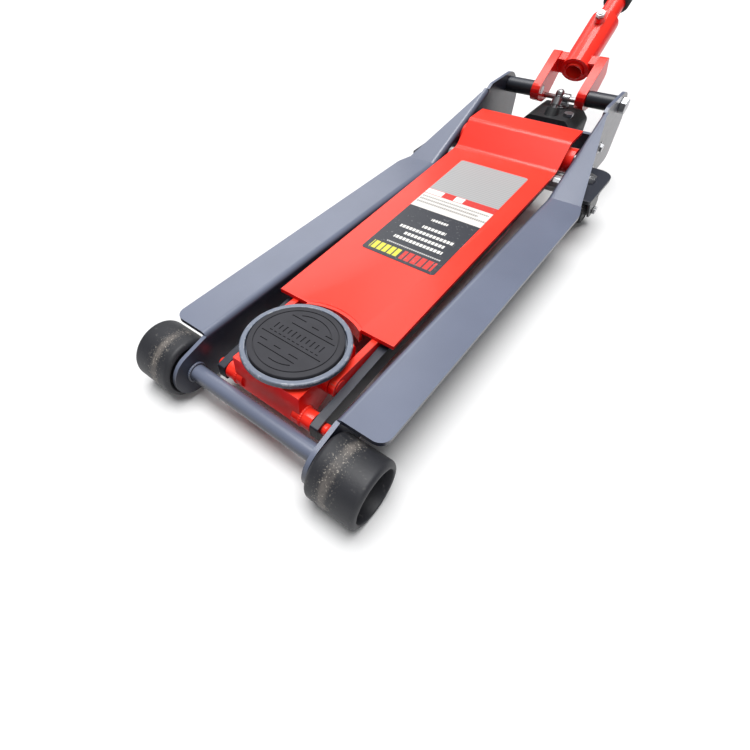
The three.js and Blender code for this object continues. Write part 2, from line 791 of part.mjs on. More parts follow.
// A return spring each side, hooked from the ram pin to the cross plate.
class Coil extends THREE.Curve {
  constructor(radius, turns, x, y, z, length) {
    super();
    Object.assign(this, { radius, turns, x, y, z, length });
  }
  getPoint(t, target = new THREE.Vector3()) {
    const angle = 2 * Math.PI * this.turns * t;
    const across = this.radius * Math.cos(angle);
    const up = this.radius * Math.sin(angle);
    return target.set(this.x + across, this.y + this.length * t, this.z + up);
  }
}

function returnSprings() {
  const start = ramPin[0] + 13.5;
  const end = crossPlateFront - 8;
  const wire = 1.4;
  const coil = new Coil(5.6, 8, springAt, start, ramPin[1], end - start);
  const helix = new THREE.ExtrudeGeometry(round(0, 0, wire), {
    steps: 64,
    curveSegments: 2,
    bevelEnabled: false,
    extrudePath: coil,
  });
  return pair("return_spring", helix, brightSteel);
}

// ---- Handle socket and handle ----

const handleDirection = new THREE.Vector3(0, Math.cos(handleAngle), Math.sin(handleAngle));
const handleUp = new THREE.Vector3(0, -Math.sin(handleAngle), Math.cos(handleAngle));
const onHandle = (s, up = 0) =>
  new THREE.Vector3(0, ...socketPivot).addScaledVector(handleDirection, s).addScaledVector(handleUp, up);

function socketPivots() {
  const armOutside = 44;
  const bolt = joined(
    crossBar(pinRadius, socketPivot, 30, webOutside + 3),
    hexagon(
      12,
      new THREE.Vector3(webOutside + gap, ...socketPivot),
      new THREE.Vector3(webOutside + 9, ...socketPivot),
    ),
  );
  const sleeve = crossPipe(12, pinRadius + gap, socketPivot, armOutside + 0.7, webInside - gap);
  return [...pair("socket_bolt", bolt, brightSteel), ...pair("socket_spacer", sleeve, blackSteel)];
}

function handleSocket() {
  const [py, pz] = socketPivot;
  const roller = [py + rollerOffset[0], pz + rollerOffset[1]];
  const along = (s, up) => {
    const point = onHandle(s, up);
    return [point.y, point.z];
  };
  const arm = outline([
    [...along(-16, -6), 10],
    [...along(-16, 16), 14],
    [...along(70, 18), 8],
    [...along(70, -20), 8],
    [roller[0] + 10, roller[1] - 9, 8],
    [roller[0] - 9, roller[1] - 9, 8],
  ]);
  const whole = joined(
    lengthwise(arm, 30, 44),
    lengthwise(arm, -44, -30),
    bar(23, onHandle(48), onHandle(150), 20),
    lengthwise(outline([[...along(52, -14)], [...along(52, 14)], [...along(68, 14)], [...along(68, -14)]]), -35, 35),
    bar(8, onHandle(128, 20), onHandle(128, 31), 16),
  );
  const body = cut(
    whole,
    bar(handleRadius + 0.6, onHandle(20), onHandle(160), 18),
    crossBar(pinRadius + play, socketPivot, -50, 50),
    crossBar(4 + gap, roller, -50, 50, 12),
    bar(4 + gap, onHandle(128, 10), onHandle(128, 40), 12),
  );
  const wheel = joined(crossBar(rollerRadius, roller, -12, 12, 16), crossBar(4, roller, -46, 46, 12));
  const screw = joined(
    bar(4, onHandle(128, handleRadius + 1), onHandle(128, 38), 12),
    hexagon(7, onHandle(128, 31 + gap), onHandle(128, 37)),
  );
  return [
    piece("handle_socket", body, redPaint()),
    piece("pump_roller", wheel, brightSteel()),
    piece("handle_screw", screw, brightSteel()),
  ];
}

function handle() {
  const wallInside = handleRadius - 2.5;
  const spigot = wallInside - gap;
  const lower = cut(
    solid(pipe(handleRadius, wallInside, onHandle(handleStart), onHandle(handleJoint), 18)),
    bar(4.3, onHandle(handleJoint - 30, 0), onHandle(handleJoint - 30, 20), 12),
  );
  const upper = joined(
    pipe(handleRadius, wallInside - 3, onHandle(handleJoint + gap), onHandle(handleEnd - 4), 18),
    pipe(spigot, wallInside - 3, onHandle(handleJoint - 60), onHandle(handleJoint + 1), 18),
  );
  const button = bar(4, onHandle(handleJoint - 30, spigot + gap), onHandle(handleJoint - 30, handleRadius + 2.5), 12);
  const gripStart = handleEnd - 135;
  const grip = turned(
    [
      [handleRadius + gap, 0],
      [gripRadius + 1.5, 0],
      [gripRadius + 1.5, 4],
      [gripRadius, 7],
      [gripRadius, 135 - gripChamfer],
      [gripRadius - gripChamfer, 135],
      [0, 135],
      [0, 135 - 4 + gap],
      [handleRadius + gap, 135 - 4 + gap],
      [handleRadius + gap, 0],
    ],
    onHandle(gripStart),
    handleDirection,
    18,
  );
  const foam = pipe(gripRadius + 3, handleRadius + gap, onHandle(190), onHandle(430), 18);
  return [
    piece("handle_lower", lower, redPaint()),
    piece("handle_upper", upper, redPaint()),
    piece("handle_button", button, brightSteel()),
    piece("handle_grip", grip, rubber()),
    piece("handle_bumper", foam, rubber()),
  ];
}

// ---- The jack ----

const jack = new THREE.Group();
jack.name = "floor_jack";
jack.add(
  ...sidePlates(),
  ...frontAxle(),
  ...frontWheels(),
  crossPlate(),
  ...armShaft(),
  ...rodRearPins(),
  ...casterPlates(),
  ...casters(),
  ...armCheeks(),
  armTopPlate(),
  armBrace(),
  armTube(),
  ramPinPiece(),
  ...yokePins(),
  ...linkRods(),
  ...linkPins(),
  saddleYoke(),
  ...saddle(),
  ...cylinder(),
  ...ram(),
  ...pumpBlock(),
  plunger(),
  releaseSpindle(),
  ...returnSprings(),
  ...socketPivots(),
  ...handleSocket(),
  ...handle(),
);
jack.position.y = wheelRadius - overallLength / 2; // the origin is on the floor under the middle of the jack

export default jack;
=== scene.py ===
import json
import math

import bmesh
import bpy
from mathutils import Matrix, Vector


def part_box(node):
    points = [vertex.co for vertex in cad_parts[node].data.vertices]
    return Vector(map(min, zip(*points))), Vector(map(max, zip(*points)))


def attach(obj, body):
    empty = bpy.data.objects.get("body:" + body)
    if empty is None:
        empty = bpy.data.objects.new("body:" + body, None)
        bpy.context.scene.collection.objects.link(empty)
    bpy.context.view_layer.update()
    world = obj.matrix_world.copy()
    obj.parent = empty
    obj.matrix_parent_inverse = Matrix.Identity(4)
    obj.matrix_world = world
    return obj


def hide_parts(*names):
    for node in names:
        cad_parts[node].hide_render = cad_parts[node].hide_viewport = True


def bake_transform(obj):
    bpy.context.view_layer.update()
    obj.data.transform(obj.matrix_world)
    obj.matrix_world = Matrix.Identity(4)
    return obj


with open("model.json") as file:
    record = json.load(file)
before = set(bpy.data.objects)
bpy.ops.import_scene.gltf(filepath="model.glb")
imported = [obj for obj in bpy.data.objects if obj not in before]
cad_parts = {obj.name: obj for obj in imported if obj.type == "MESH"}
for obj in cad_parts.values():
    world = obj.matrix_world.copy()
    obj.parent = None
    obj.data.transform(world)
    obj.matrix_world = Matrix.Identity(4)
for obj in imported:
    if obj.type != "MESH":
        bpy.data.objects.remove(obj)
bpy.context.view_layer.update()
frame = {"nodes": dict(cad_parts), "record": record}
mm = 0.001
originShift = -775 * mm  # from the front axle's own zero to the row frame


def hexColour(text):
    # an sRGB hex value as the linear colour that the shaders take
    channels = [int(text[i:i + 2], 16) / 255 for i in (0, 2, 4)]
    linear = [c / 12.92 if c <= 0.04045 else ((c + 0.055) / 1.055) ** 2.4 for c in channels]
    return (*linear, 1.0)


def perMetre(sizeMm):
    return 1000.0 / sizeMm  # texture scale for a feature of this size


def add(tree, kind, settings=None, inputs=None, stops=()):
    # a node with its settings, its links or values, and the two stops of its colour ramp
    node = tree.nodes.new(kind)
    for name, value in (settings or {}).items():
        setattr(node, name, value)
    for name, value in (inputs or {}).items():
        socket = node.inputs[name]
        if isinstance(value, bpy.types.NodeSocket):
            tree.links.new(value, socket)
        else:
            socket.default_value = value
    for i, (position, colour) in enumerate(stops):
        node.color_ramp.elements[i].position = position
        node.color_ramp.elements[i].color = colour
    return node


def grey(value):
    return (value, value, value, 1.0)


def newMaterial(name):
    material = bpy.data.materials.new(name)
    material.use_nodes = True
    tree = material.node_tree
    tree.nodes.clear()
    shader = add(tree, "ShaderNodeBsdfPrincipled")
    output = add(tree, "ShaderNodeOutputMaterial")
    tree.links.new(shader.outputs["BSDF"], output.inputs["Surface"])
    return material, tree, shader


paints = {
    "satinSlateEnamel": {
        # satin blue-grey stoving enamel on folded steel: navy where it stands upright, with painted top light
        # making it paler where it faces up, a soft sheen, faint orange peel and a few pinpoints of grit
        "colour": "222633", "top": "676E81", "grit": "B9B8B4", "worn": "8A8D95",
        "roughness": 0.34, "coat": 0.3, "coatRoughness": 0.2, "specular": 0.5, "peel": 0.05,
    },
    "glossRedEnamel": {
        # glossy red enamel, sprayed: deep on its sides, hot orange-red on top as painted top light, with wet
        # highlights
        "colour": "E00A0A", "top": "F23826", "grit": "F7B6A6", "worn": "B2564C",
        "roughness": 0.32, "coat": 0.2, "coatRoughness": 0.12, "specular": 0.3, "peel": 0.06,
    },
    "dullBlackEnamel": {
        # thin dark paint on flat bar and brackets: duller than the frame, paler on its upper faces as painted
        # top light, and gritty there
        "colour": "161920", "top": "262A35", "grit": "8C8880", "worn": "6A6C71",
        "roughness": 0.4, "coat": 0.15, "coatRoughness": 0.3, "specular": 0.5, "peel": 0.08,
    },
    "rubbedSlateEnamel": {
        # grey-blue paint on a cast cup, rubbed through to steel round the rim, paler on its upper faces as
        # painted top light
        "colour": "3A404D", "top": "6C7484", "grit": "A5A7A8", "worn": "A4A8AE",
        "roughness": 0.4, "coat": 0.2, "coatRoughness": 0.25, "specular": 0.5, "peel": 0.12,
    },
}


paintSkin = {
    # real orange peel is about a millimetre across, drawn at two so that it shows
    "cloudMm": 90, "gritMm": 3, "chipMm": 9, "peelMm": 2, "peelDepth": 0.0006,
    "upright": 0.05, "level": 0.95,  # how far a face tips up before the painted top light and the grit start, and when they are full
    "leastPaintedTopLight": 0.86, "gritFrom": 0.76, "gritTo": 0.82, "gritMost": 0.4, "chipFrom": 0.5, "chipTo": 0.6,
    "polish": 0.01, "haze": 0.04, "rubbedEdge": 0.7,
}


def enamel(name, look, skin, rub):
    # spray enamel over steel: painted top light, clouded, makes it paler where it faces up; gritty, and
    # chipped by the share rub
    material, tree, shader = newMaterial(name)
    place = add(tree, "ShaderNodeTexCoord").outputs["Object"]
    geometry = add(tree, "ShaderNodeNewGeometry")
    facing = add(tree, "ShaderNodeSeparateXYZ", None, {"Vector": geometry.outputs["Normal"]})
    cloud = add(tree, "ShaderNodeTexNoise", None, {
        "Vector": place, "Scale": perMetre(skin["cloudMm"]), "Detail": 3.0,
    })
    upward = add(tree, "ShaderNodeMapRange", {"interpolation_type": "SMOOTHSTEP"}, {
        "Value": facing.outputs["Z"], "From Min": skin["upright"], "From Max": skin["level"],
    })
    uneven = add(tree, "ShaderNodeMapRange", None, {
        "Value": cloud.outputs["Fac"], "From Min": 0.3, "From Max": 0.7,
        "To Min": skin["leastPaintedTopLight"], "To Max": 1.0,
    })
    # painted top light: the share of the paler top tone, by how far a face tips up, mottled by the cloud
    paintedTopLight = add(tree, "ShaderNodeMath", {"operation": "MULTIPLY"}, {
        0: upward.outputs["Result"], 1: uneven.outputs["Result"],
    })
    base = add(tree, "ShaderNodeMix", {"data_type": "RGBA"}, {
        0: paintedTopLight.outputs[0], 6: hexColour(look["colour"]), 7: hexColour(look["top"]),
    })
    speck = add(tree, "ShaderNodeTexNoise", None, {
        "Vector": place, "Scale": perMetre(skin["gritMm"]), "Detail": 3.0, "Roughness": 0.6,
    })
    grit = add(tree, "ShaderNodeValToRGB", None, {"Fac": speck.outputs["Fac"]}, [
        (skin["gritFrom"], grey(0.0)), (skin["gritTo"], grey(skin["gritMost"])),
    ])
    gritShare = add(tree, "ShaderNodeMath", {"operation": "MULTIPLY"}, {
        0: grit.outputs["Color"], 1: upward.outputs["Result"],
    })
    gritty = add(tree, "ShaderNodeMix", {"data_type": "RGBA"}, {
        0: gritShare.outputs[0], 6: base.outputs[2], 7: hexColour(look["grit"]),
    })
    wear = add(tree, "ShaderNodeTexNoise", None, {
        "Vector": place, "Scale": perMetre(skin["chipMm"]), "Detail": 6.0, "Roughness": 0.7,
    })
    chips = add(tree, "ShaderNodeValToRGB", None, {"Fac": wear.outputs["Fac"]}, [
        (skin["chipFrom"], grey(0.0)), (skin["chipTo"], grey(rub)),
    ])
    colour = add(tree, "ShaderNodeMix", {"data_type": "RGBA"}, {
        0: chips.outputs["Color"], 6: gritty.outputs[2], 7: hexColour(look["worn"]),
    })
    smear = add(tree, "ShaderNodeMapRange", None, {
        "Value": wear.outputs["Fac"], "From Min": 0.35, "From Max": 0.7,
        "To Min": look["roughness"] - skin["polish"], "To Max": look["roughness"] + skin["haze"],
    })
    peel = add(tree, "ShaderNodeTexNoise", None, {
        "Vector": place, "Scale": perMetre(skin["peelMm"]), "Detail": 2.0,
    })
    bump = add(tree, "ShaderNodeBump", None, {
        "Height": peel.outputs["Fac"], "Strength": look["peel"], "Distance": skin["peelDepth"],
    })
    tree.links.new(colour.outputs[2], shader.inputs["Base Color"])
    tree.links.new(smear.outputs["Result"], shader.inputs["Roughness"])
    tree.links.new(bump.outputs["Normal"], shader.inputs["Normal"])
    shader.inputs["Coat Weight"].default_value = look["coat"]
    shader.inputs["Specular IOR Level"].default_value = look["specular"]
    shader.inputs["Coat Roughness"].default_value = look["coatRoughness"]
    return material


metals = {
    "zincPlatedSteel": {
        # bright zinc plate on turned steel: cool grey, fine turning lines, a little grime
        "colour": "B9BABC", "shade": "8F9093", "roughness": 0.3, "clean": 0.06, "grime": 0.14,
        "blotchMm": 14, "lineMm": 0.8, "bump": 0.05,
    },
    "groundHardChrome": {
        # hard chrome on a ground ram rod: near mirror, with hair-fine lines
        "colour": "D4D6D8", "shade": "C2C4C7", "roughness": 0.1, "clean": 0.06, "grime": 0.14,
        "blotchMm": 14, "lineMm": 0.5, "bump": 0.015,
    },
}


def bareMetal(name, look):
    # turned or plated metal: stretched noise for tool lines, blotches of grime for roughness
    stretch = 6.0
    material, tree, shader = newMaterial(name)
    place = add(tree, "ShaderNodeTexCoord").outputs["Object"]
    blotch = add(tree, "ShaderNodeTexNoise", None, {
        "Vector": place, "Scale": perMetre(look["blotchMm"]), "Detail": 4.0,
    })
    colour = add(tree, "ShaderNodeMix", {"data_type": "RGBA"}, {
        0: blotch.outputs["Fac"], 6: hexColour(look["colour"]), 7: hexColour(look["shade"]),
    })
    stretched = add(tree, "ShaderNodeMapping", None, {"Vector": place, "Scale": (1.0, stretch, stretch)})
    lines = add(tree, "ShaderNodeTexNoise", None, {
        "Vector": stretched.outputs["Vector"], "Scale": perMetre(look["lineMm"] * stretch), "Detail": 2.0,
    })
    roughness = add(tree, "ShaderNodeMapRange", None, {
        "Value": blotch.outputs["Fac"],
        "To Min": look["roughness"] - look["clean"], "To Max": look["roughness"] + look["grime"],
    })
    bump = add(tree, "ShaderNodeBump", None, {
        "Height": lines.outputs["Fac"], "Strength": look["bump"], "Distance": 0.0004,
    })
    tree.links.new(colour.outputs[2], shader.inputs["Base Color"])
    tree.links.new(roughness.outputs["Result"], shader.inputs["Roughness"])
    tree.links.new(bump.outputs["Normal"], shader.inputs["Normal"])
    shader.inputs["Metallic"].default_value = 1.0
    return material


castIron = {
    # sand-cast iron under black paint: a pebbled skin that breaks up every highlight
    "colour": "2A2C2F", "shade": "1D1F21", "grainMm": 1.6, "lumpMm": 25,
    "roughness": 0.58, "metallic": 0.2, "bump": 0.45,
}


def sandCastIron(look):
    material, tree, shader = newMaterial("sandCastIron")
    place = add(tree, "ShaderNodeTexCoord").outputs["Object"]
    skin = add(tree, "ShaderNodeTexNoise", None, {
        "Vector": place, "Scale": perMetre(look["grainMm"]), "Detail": 4.0, "Roughness": 0.6,
    })
    lumps = add(tree, "ShaderNodeTexNoise", None, {
        "Vector": place, "Scale": perMetre(look["lumpMm"]), "Detail": 3.0,
    })
    colour = add(tree, "ShaderNodeMix", {"data_type": "RGBA"}, {
        0: lumps.outputs["Fac"], 6: hexColour(look["colour"]), 7: hexColour(look["shade"]),
    })
    bump = add(tree, "ShaderNodeBump", None, {
        "Height": skin.outputs["Fac"], "Strength": look["bump"], "Distance": 0.0008,
    })
    tree.links.new(colour.outputs[2], shader.inputs["Base Color"])
    tree.links.new(bump.outputs["Normal"], shader.inputs["Normal"])
    shader.inputs["Roughness"].default_value = look["roughness"]
    shader.inputs["Metallic"].default_value = look["metallic"]
    return material


rubbers = {
    # moulded rubber: matte, greyed by handling, with a fine pitted skin
    "mouldedPadRubber": {
        "colour": "26262B", "grey": "34343A", "roughness": 0.75, "cloudMm": 16, "pitMm": 0.9,
    },
    "mouldedGripRubber": {
        "colour": "141416", "grey": "222225", "roughness": 0.7, "cloudMm": 16, "pitMm": 0.9,
    },
}


def mouldedRubber(name, look):
    material, tree, shader = newMaterial(name)
    place = add(tree, "ShaderNodeTexCoord").outputs["Object"]
    cloud = add(tree, "ShaderNodeTexNoise", None, {
        "Vector": place, "Scale": perMetre(look["cloudMm"]), "Detail": 5.0,
    })
    colour = add(tree, "ShaderNodeMix", {"data_type": "RGBA"}, {
        0: cloud.outputs["Fac"], 6: hexColour(look["colour"]), 7: hexColour(look["grey"]),
    })
    pits = add(tree, "ShaderNodeTexNoise", None, {
        "Vector": place, "Scale": perMetre(look["pitMm"]), "Detail": 3.0,
    })
    bump = add(tree, "ShaderNodeBump", None, {
        "Height": pits.outputs["Fac"], "Strength": 0.2, "Distance": 0.0004,
    })
    tree.links.new(colour.outputs[2], shader.inputs["Base Color"])
    tree.links.new(bump.outputs["Normal"], shader.inputs["Normal"])
    shader.inputs["Roughness"].default_value = look["roughness"]
    return material


wheelLook = {
    # moulded nylon roller: charcoal, with a pale dusty track round the middle of its tread
    # and sand caught in it
    "colour": "24252B", "shade": "18191D", "track": "77706A", "sand": "B4ADA2", "scuff": "6B6966",
    "treadMiddle": 0.119, "trackHalf": 0.007, "trackMost": 0.6, "sandHalf": 0.015, "sandMost": 0.75,
    "scuffMost": 0.35, "driftMm": 22, "scratchMm": 3, "roughness": 0.55, "sandRoughness": 0.95,
    # size in millimetres, and where each pattern starts and is full
    "specks": {"track": (25, 0.3, 0.62), "sand": (2.0, 0.57, 0.67), "scuff": (7, 0.62, 0.72)},
}


def dustyMouldedNylon(look):
    material, tree, shader = newMaterial("dustyMouldedNylon")
    place = add(tree, "ShaderNodeTexCoord").outputs["Object"]
    axes = add(tree, "ShaderNodeSeparateXYZ", None, {"Vector": place})
    side = add(tree, "ShaderNodeMath", {"operation": "ABSOLUTE"}, {0: axes.outputs["X"]})
    off = add(tree, "ShaderNodeMath", {"operation": "SUBTRACT"}, {0: side.outputs[0], 1: look["treadMiddle"]})
    away = add(tree, "ShaderNodeMath", {"operation": "ABSOLUTE"}, {0: off.outputs[0]})

    # how near to the middle of the tread, for the track and for the sand
    bands = {}
    for name in ("track", "sand"):
        half, most = look[name + "Half"], look[name + "Most"]
        bands[name] = add(tree, "ShaderNodeMapRange", {"interpolation_type": "SMOOTHSTEP"}, {
            "Value": away.outputs[0], "From Min": half * 0.2, "From Max": half,
            "To Min": most, "To Max": 0.0,
        }).outputs["Result"]
    specks = {}
    for name, (size, low, high) in look["specks"].items():
        noise = add(tree, "ShaderNodeTexNoise", None, {
            "Vector": place, "Scale": perMetre(size), "Detail": 4.0, "Roughness": 0.65,
        })
        specks[name] = add(tree, "ShaderNodeValToRGB", None, {"Fac": noise.outputs["Fac"]}, [
            (low, grey(0.0)), (high, grey(1.0)),
        ]).outputs["Color"]
    drift = add(tree, "ShaderNodeTexNoise", None, {
        "Vector": place, "Scale": perMetre(look["driftMm"]), "Detail": 4.0,
    })
    base = add(tree, "ShaderNodeMix", {"data_type": "RGBA"}, {
        0: drift.outputs["Fac"], 6: hexColour(look["colour"]), 7: hexColour(look["shade"]),
    })
    trackMask = add(tree, "ShaderNodeMath", {"operation": "MULTIPLY"}, {
        0: bands["track"], 1: specks["track"],
    })
    tracked = add(tree, "ShaderNodeMix", {"data_type": "RGBA"}, {
        0: trackMask.outputs[0], 6: base.outputs[2], 7: hexColour(look["track"]),
    })
    sandMask = add(tree, "ShaderNodeMath", {"operation": "MULTIPLY"}, {
        0: bands["sand"], 1: specks["sand"],
    })
    sanded = add(tree, "ShaderNodeMix", {"data_type": "RGBA"}, {
        0: sandMask.outputs[0], 6: tracked.outputs[2], 7: hexColour(look["sand"]),
    })
    scuffMask = add(tree, "ShaderNodeMath", {"operation": "MULTIPLY"}, {
        0: specks["scuff"], 1: look["scuffMost"],
    })
    colour = add(tree, "ShaderNodeMix", {"data_type": "RGBA"}, {
        0: scuffMask.outputs[0], 6: sanded.outputs[2], 7: hexColour(look["scuff"]),
    })
    roughness = add(tree, "ShaderNodeMapRange", None, {
        "Value": sandMask.outputs[0], "To Min": look["roughness"], "To Max": look["sandRoughness"],
    })
    scratches = add(tree, "ShaderNodeTexNoise", None, {
        "Vector": place, "Scale": perMetre(look["scratchMm"]), "Detail": 6.0,
    })
    bump = add(tree, "ShaderNodeBump", None, {
        "Height": scratches.outputs["Fac"], "Strength": 0.25, "Distance": 0.0006,
    })
    tree.links.new(colour.outputs[2], shader.inputs["Base Color"])
    tree.links.new(roughness.outputs["Result"], shader.inputs["Roughness"])
    tree.links.new(bump.outputs["Normal"], shader.inputs["Normal"])
    return material


foamLook = {
    # closed-cell foam sleeve: dead black, with open pores about a millimetre across, darker in each pore as
    # painted shade
    "poreShade": "121214", "skin": "2B2B2E", "poreMm": 2.2, "roughness": 0.92, "bump": 0.5,
}


def closedCellFoam(look):
    material, tree, shader = newMaterial("closedCellFoam")
    place = add(tree, "ShaderNodeTexCoord").outputs["Object"]
    pores = add(tree, "ShaderNodeTexVoronoi", None, {"Vector": place, "Scale": perMetre(look["poreMm"])})
    # painted shade: the colour runs darker towards the middle of each pore, where the bump sinks it
    colour = add(tree, "ShaderNodeValToRGB", None, {"Fac": pores.outputs["Distance"]}, [
        (0.05, hexColour(look["poreShade"])), (0.45, hexColour(look["skin"])),
    ])
    bump = add(tree, "ShaderNodeBump", None, {
        "Height": pores.outputs["Distance"], "Strength": look["bump"], "Distance": 0.0006,
    })
    tree.links.new(colour.outputs["Color"], shader.inputs["Base Color"])
    tree.links.new(bump.outputs["Normal"], shader.inputs["Normal"])
    shader.inputs["Roughness"].default_value = look["roughness"]
    return material


labelLook = {
    # printed vinyl, all plain blocks: a dark panel, a pale strip, a red strip and a grey panel with
    # faint rows, under a clear skin with a few worn patches
    "ink": "2A2D35", "pale": "D8D4D0", "red": "C8322C", "panel": "A6A6A6", "fine": "8B8B8C",
    "rowMm": 4.5, "rowShare": 0.4, "rowInk": 0.6, "dashShare": 0.78, "scratchMm": 4,
    "stripStart": 374, "flagStart": 411, "panelStart": 425,
    # left, right, start and end in millimetres, the ink, and the pitch of its dashes (0 for unbroken)
    "blocks": [
        (2, 48, 262, 280, "C9302A", 9), (-43, -2, 263, 279, "CFC93C", 8), (-30, 48, 285, 287.5, "B8B6B4", 3),
        (-28, 42, 297, 303, "DEDCD8", 5), (-20, 38, 309, 315, "DEDCD8", 5), (-34, 44, 321, 327, "DEDCD8", 5),
        (-8, 26, 334, 340, "DEDCD8", 5), (-6, 18, 354, 359, "DEDCD8", 4),
        (-48, 55, 386, 390, "97948F", 3), (-48, 40, 394, 398, "97948F", 3), (-48, 52, 402, 405, "97948F", 3),
        (-50, -24, 412, 424, "E9E6E3", 0), (-6, 8, 412, 424, "E9E6E3", 0),
    ],
}


def printedVinyl(look):
    # the print is laid out along the jack, in millimetres from the front axle
    material, tree, shader = newMaterial("printedVinyl")
    place = add(tree, "ShaderNodeTexCoord").outputs["Object"]
    axes = add(tree, "ShaderNodeSeparateXYZ", None, {"Vector": place})
    readings = []
    for axis, zero in (("X", 0.0), ("Y", originShift)):
        readings.append(add(tree, "ShaderNodeMapRange", {"clamp": False}, {
            "Value": axes.outputs[axis], "From Min": zero, "From Max": zero + 1.0,
            "To Min": 0.0, "To Max": 1000.0,
        }).outputs["Result"])
    across, along = readings
    line = add(tree, "ShaderNodeMath", {"operation": "DIVIDE"}, {0: along, 1: look["rowMm"]})
    part = add(tree, "ShaderNodeMath", {"operation": "FRACT"}, {0: line.outputs[0]})
    inked = add(tree, "ShaderNodeMath", {"operation": "LESS_THAN"}, {
        0: part.outputs[0], 1: look["rowShare"],
    })
    faint = add(tree, "ShaderNodeMath", {"operation": "MULTIPLY"}, {
        0: inked.outputs[0], 1: look["rowInk"],
    })
    panel = add(tree, "ShaderNodeMix", {"data_type": "RGBA"}, {
        0: faint.outputs[0], 6: hexColour(look["panel"]), 7: hexColour(look["fine"]),
    })
    printed = hexColour(look["ink"])
    for start, ink in ((look["stripStart"], look["pale"]), (look["flagStart"], look["red"])):
        beyond = add(tree, "ShaderNodeMath", {"operation": "GREATER_THAN"}, {0: along, 1: start})
        printed = add(tree, "ShaderNodeMix", {"data_type": "RGBA"}, {
            0: beyond.outputs[0], 6: printed, 7: hexColour(ink),
        }).outputs[2]
    for left, right, start, end, ink, dash in look["blocks"]:
        wide = add(tree, "ShaderNodeMath", {"operation": "COMPARE"}, {
            0: across, 1: (left + right) / 2, 2: (right - left) / 2,
        })
        long = add(tree, "ShaderNodeMath", {"operation": "COMPARE"}, {
            0: along, 1: (start + end) / 2, 2: (end - start) / 2,
        })
        inside = add(tree, "ShaderNodeMath", {"operation": "MULTIPLY"}, {
            0: wide.outputs[0], 1: long.outputs[0],
        })
        if dash:
            step = add(tree, "ShaderNodeMath", {"operation": "DIVIDE"}, {0: across, 1: dash})
            part = add(tree, "ShaderNodeMath", {"operation": "FRACT"}, {0: step.outputs[0]})
            kept = add(tree, "ShaderNodeMath", {"operation": "LESS_THAN"}, {
                0: part.outputs[0], 1: look["dashShare"],
            })
            inside = add(tree, "ShaderNodeMath", {"operation": "MULTIPLY"}, {
                0: inside.outputs[0], 1: kept.outputs[0],
            })
        printed = add(tree, "ShaderNodeMix", {"data_type": "RGBA"}, {
            0: inside.outputs[0], 6: printed, 7: hexColour(ink),
        }).outputs[2]
    beyond = add(tree, "ShaderNodeMath", {"operation": "GREATER_THAN"}, {
        0: along, 1: look["panelStart"],
    })
    printed = add(tree, "ShaderNodeMix", {"data_type": "RGBA"}, {
        0: beyond.outputs[0], 6: printed, 7: panel.outputs[2],
    })
    scratches = add(tree, "ShaderNodeTexNoise", None, {
        "Vector": place, "Scale": perMetre(look["scratchMm"]), "Detail": 5.0,
    })
    worn = add(tree, "ShaderNodeValToRGB", None, {"Fac": scratches.outputs["Fac"]}, [
        (0.62, grey(0.0)), (0.8, grey(0.5)),
    ])
    colour = add(tree, "ShaderNodeMix", {"data_type": "RGBA"}, {
        0: worn.outputs["Color"], 6: printed.outputs[2], 7: hexColour(look["panel"]),
    })
    roughness = add(tree, "ShaderNodeMapRange", None, {
        "Value": scratches.outputs["Fac"], "To Min": 0.3, "To Max": 0.5,
    })
    tree.links.new(colour.outputs[2], shader.inputs["Base Color"])
    tree.links.new(roughness.outputs["Result"], shader.inputs["Roughness"])
    return material


print("materials")
materials = {name: enamel(name, look, paintSkin, 0.0) for name, look in paints.items()}
for name, look in paints.items():
    # the same paint where a corner is rounded over, which is where it rubs through
    materials[name + "Edge"] = enamel(name + "Edge", look, paintSkin, paintSkin["rubbedEdge"])
materials.update({name: bareMetal(name, look) for name, look in metals.items()})
materials["sandCastIron"] = sandCastIron(castIron)
materials.update({name: mouldedRubber(name, look) for name, look in rubbers.items()})
materials["dustyMouldedNylon"] = dustyMouldedNylon(wheelLook)
materials["closedCellFoam"] = closedCellFoam(foamLook)
materials["printedVinyl"] = printedVinyl(labelLook)

bodyOf = {node: body for body, nodes in frame["record"]["behaviour"]["bodies"].items() for node in nodes}


def newPiece(name, mesh, material, smoothAngle=30):
    piece = bpy.data.objects.new(name, mesh)
    bpy.context.scene.collection.objects.link(piece)
    mesh.materials.clear()
    mesh.materials.append(materials[material])
    mesh.shade_smooth()
    mesh.set_sharp_from_angle(angle=math.radians(smoothAngle))
    return piece


def standsFor(piece, *nodes):
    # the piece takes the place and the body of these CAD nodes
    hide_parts(*nodes)
    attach(piece, bodyOf[nodes[0]])
    return piece


def addsTo(piece, body):
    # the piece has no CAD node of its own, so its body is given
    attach(piece, body)
    return piece


def softenEdges(piece, width, angle=25):
    bevel = piece.modifiers.new("soft edges", "BEVEL")
    bevel.width = width * mm
    bevel.segments = 3
    bevel.limit_method = "ANGLE"
    bevel.angle_limit = math.radians(angle)
    bevel.use_clamp_overlap = True
    rubbed = piece.data.materials[0].name + "Edge"
    if rubbed in materials:
        piece.data.materials.append(materials[rubbed])
        bevel.material = 1
    return piece


def plainMesh(draft):
    # what a draft object's modifiers or curve come to, as a mesh of its own; the draft goes
    bpy.context.view_layer.update()
    mesh = bpy.data.meshes.new_from_object(draft.evaluated_get(bpy.context.evaluated_depsgraph_get()))
    bpy.data.objects.remove(draft)
    return mesh


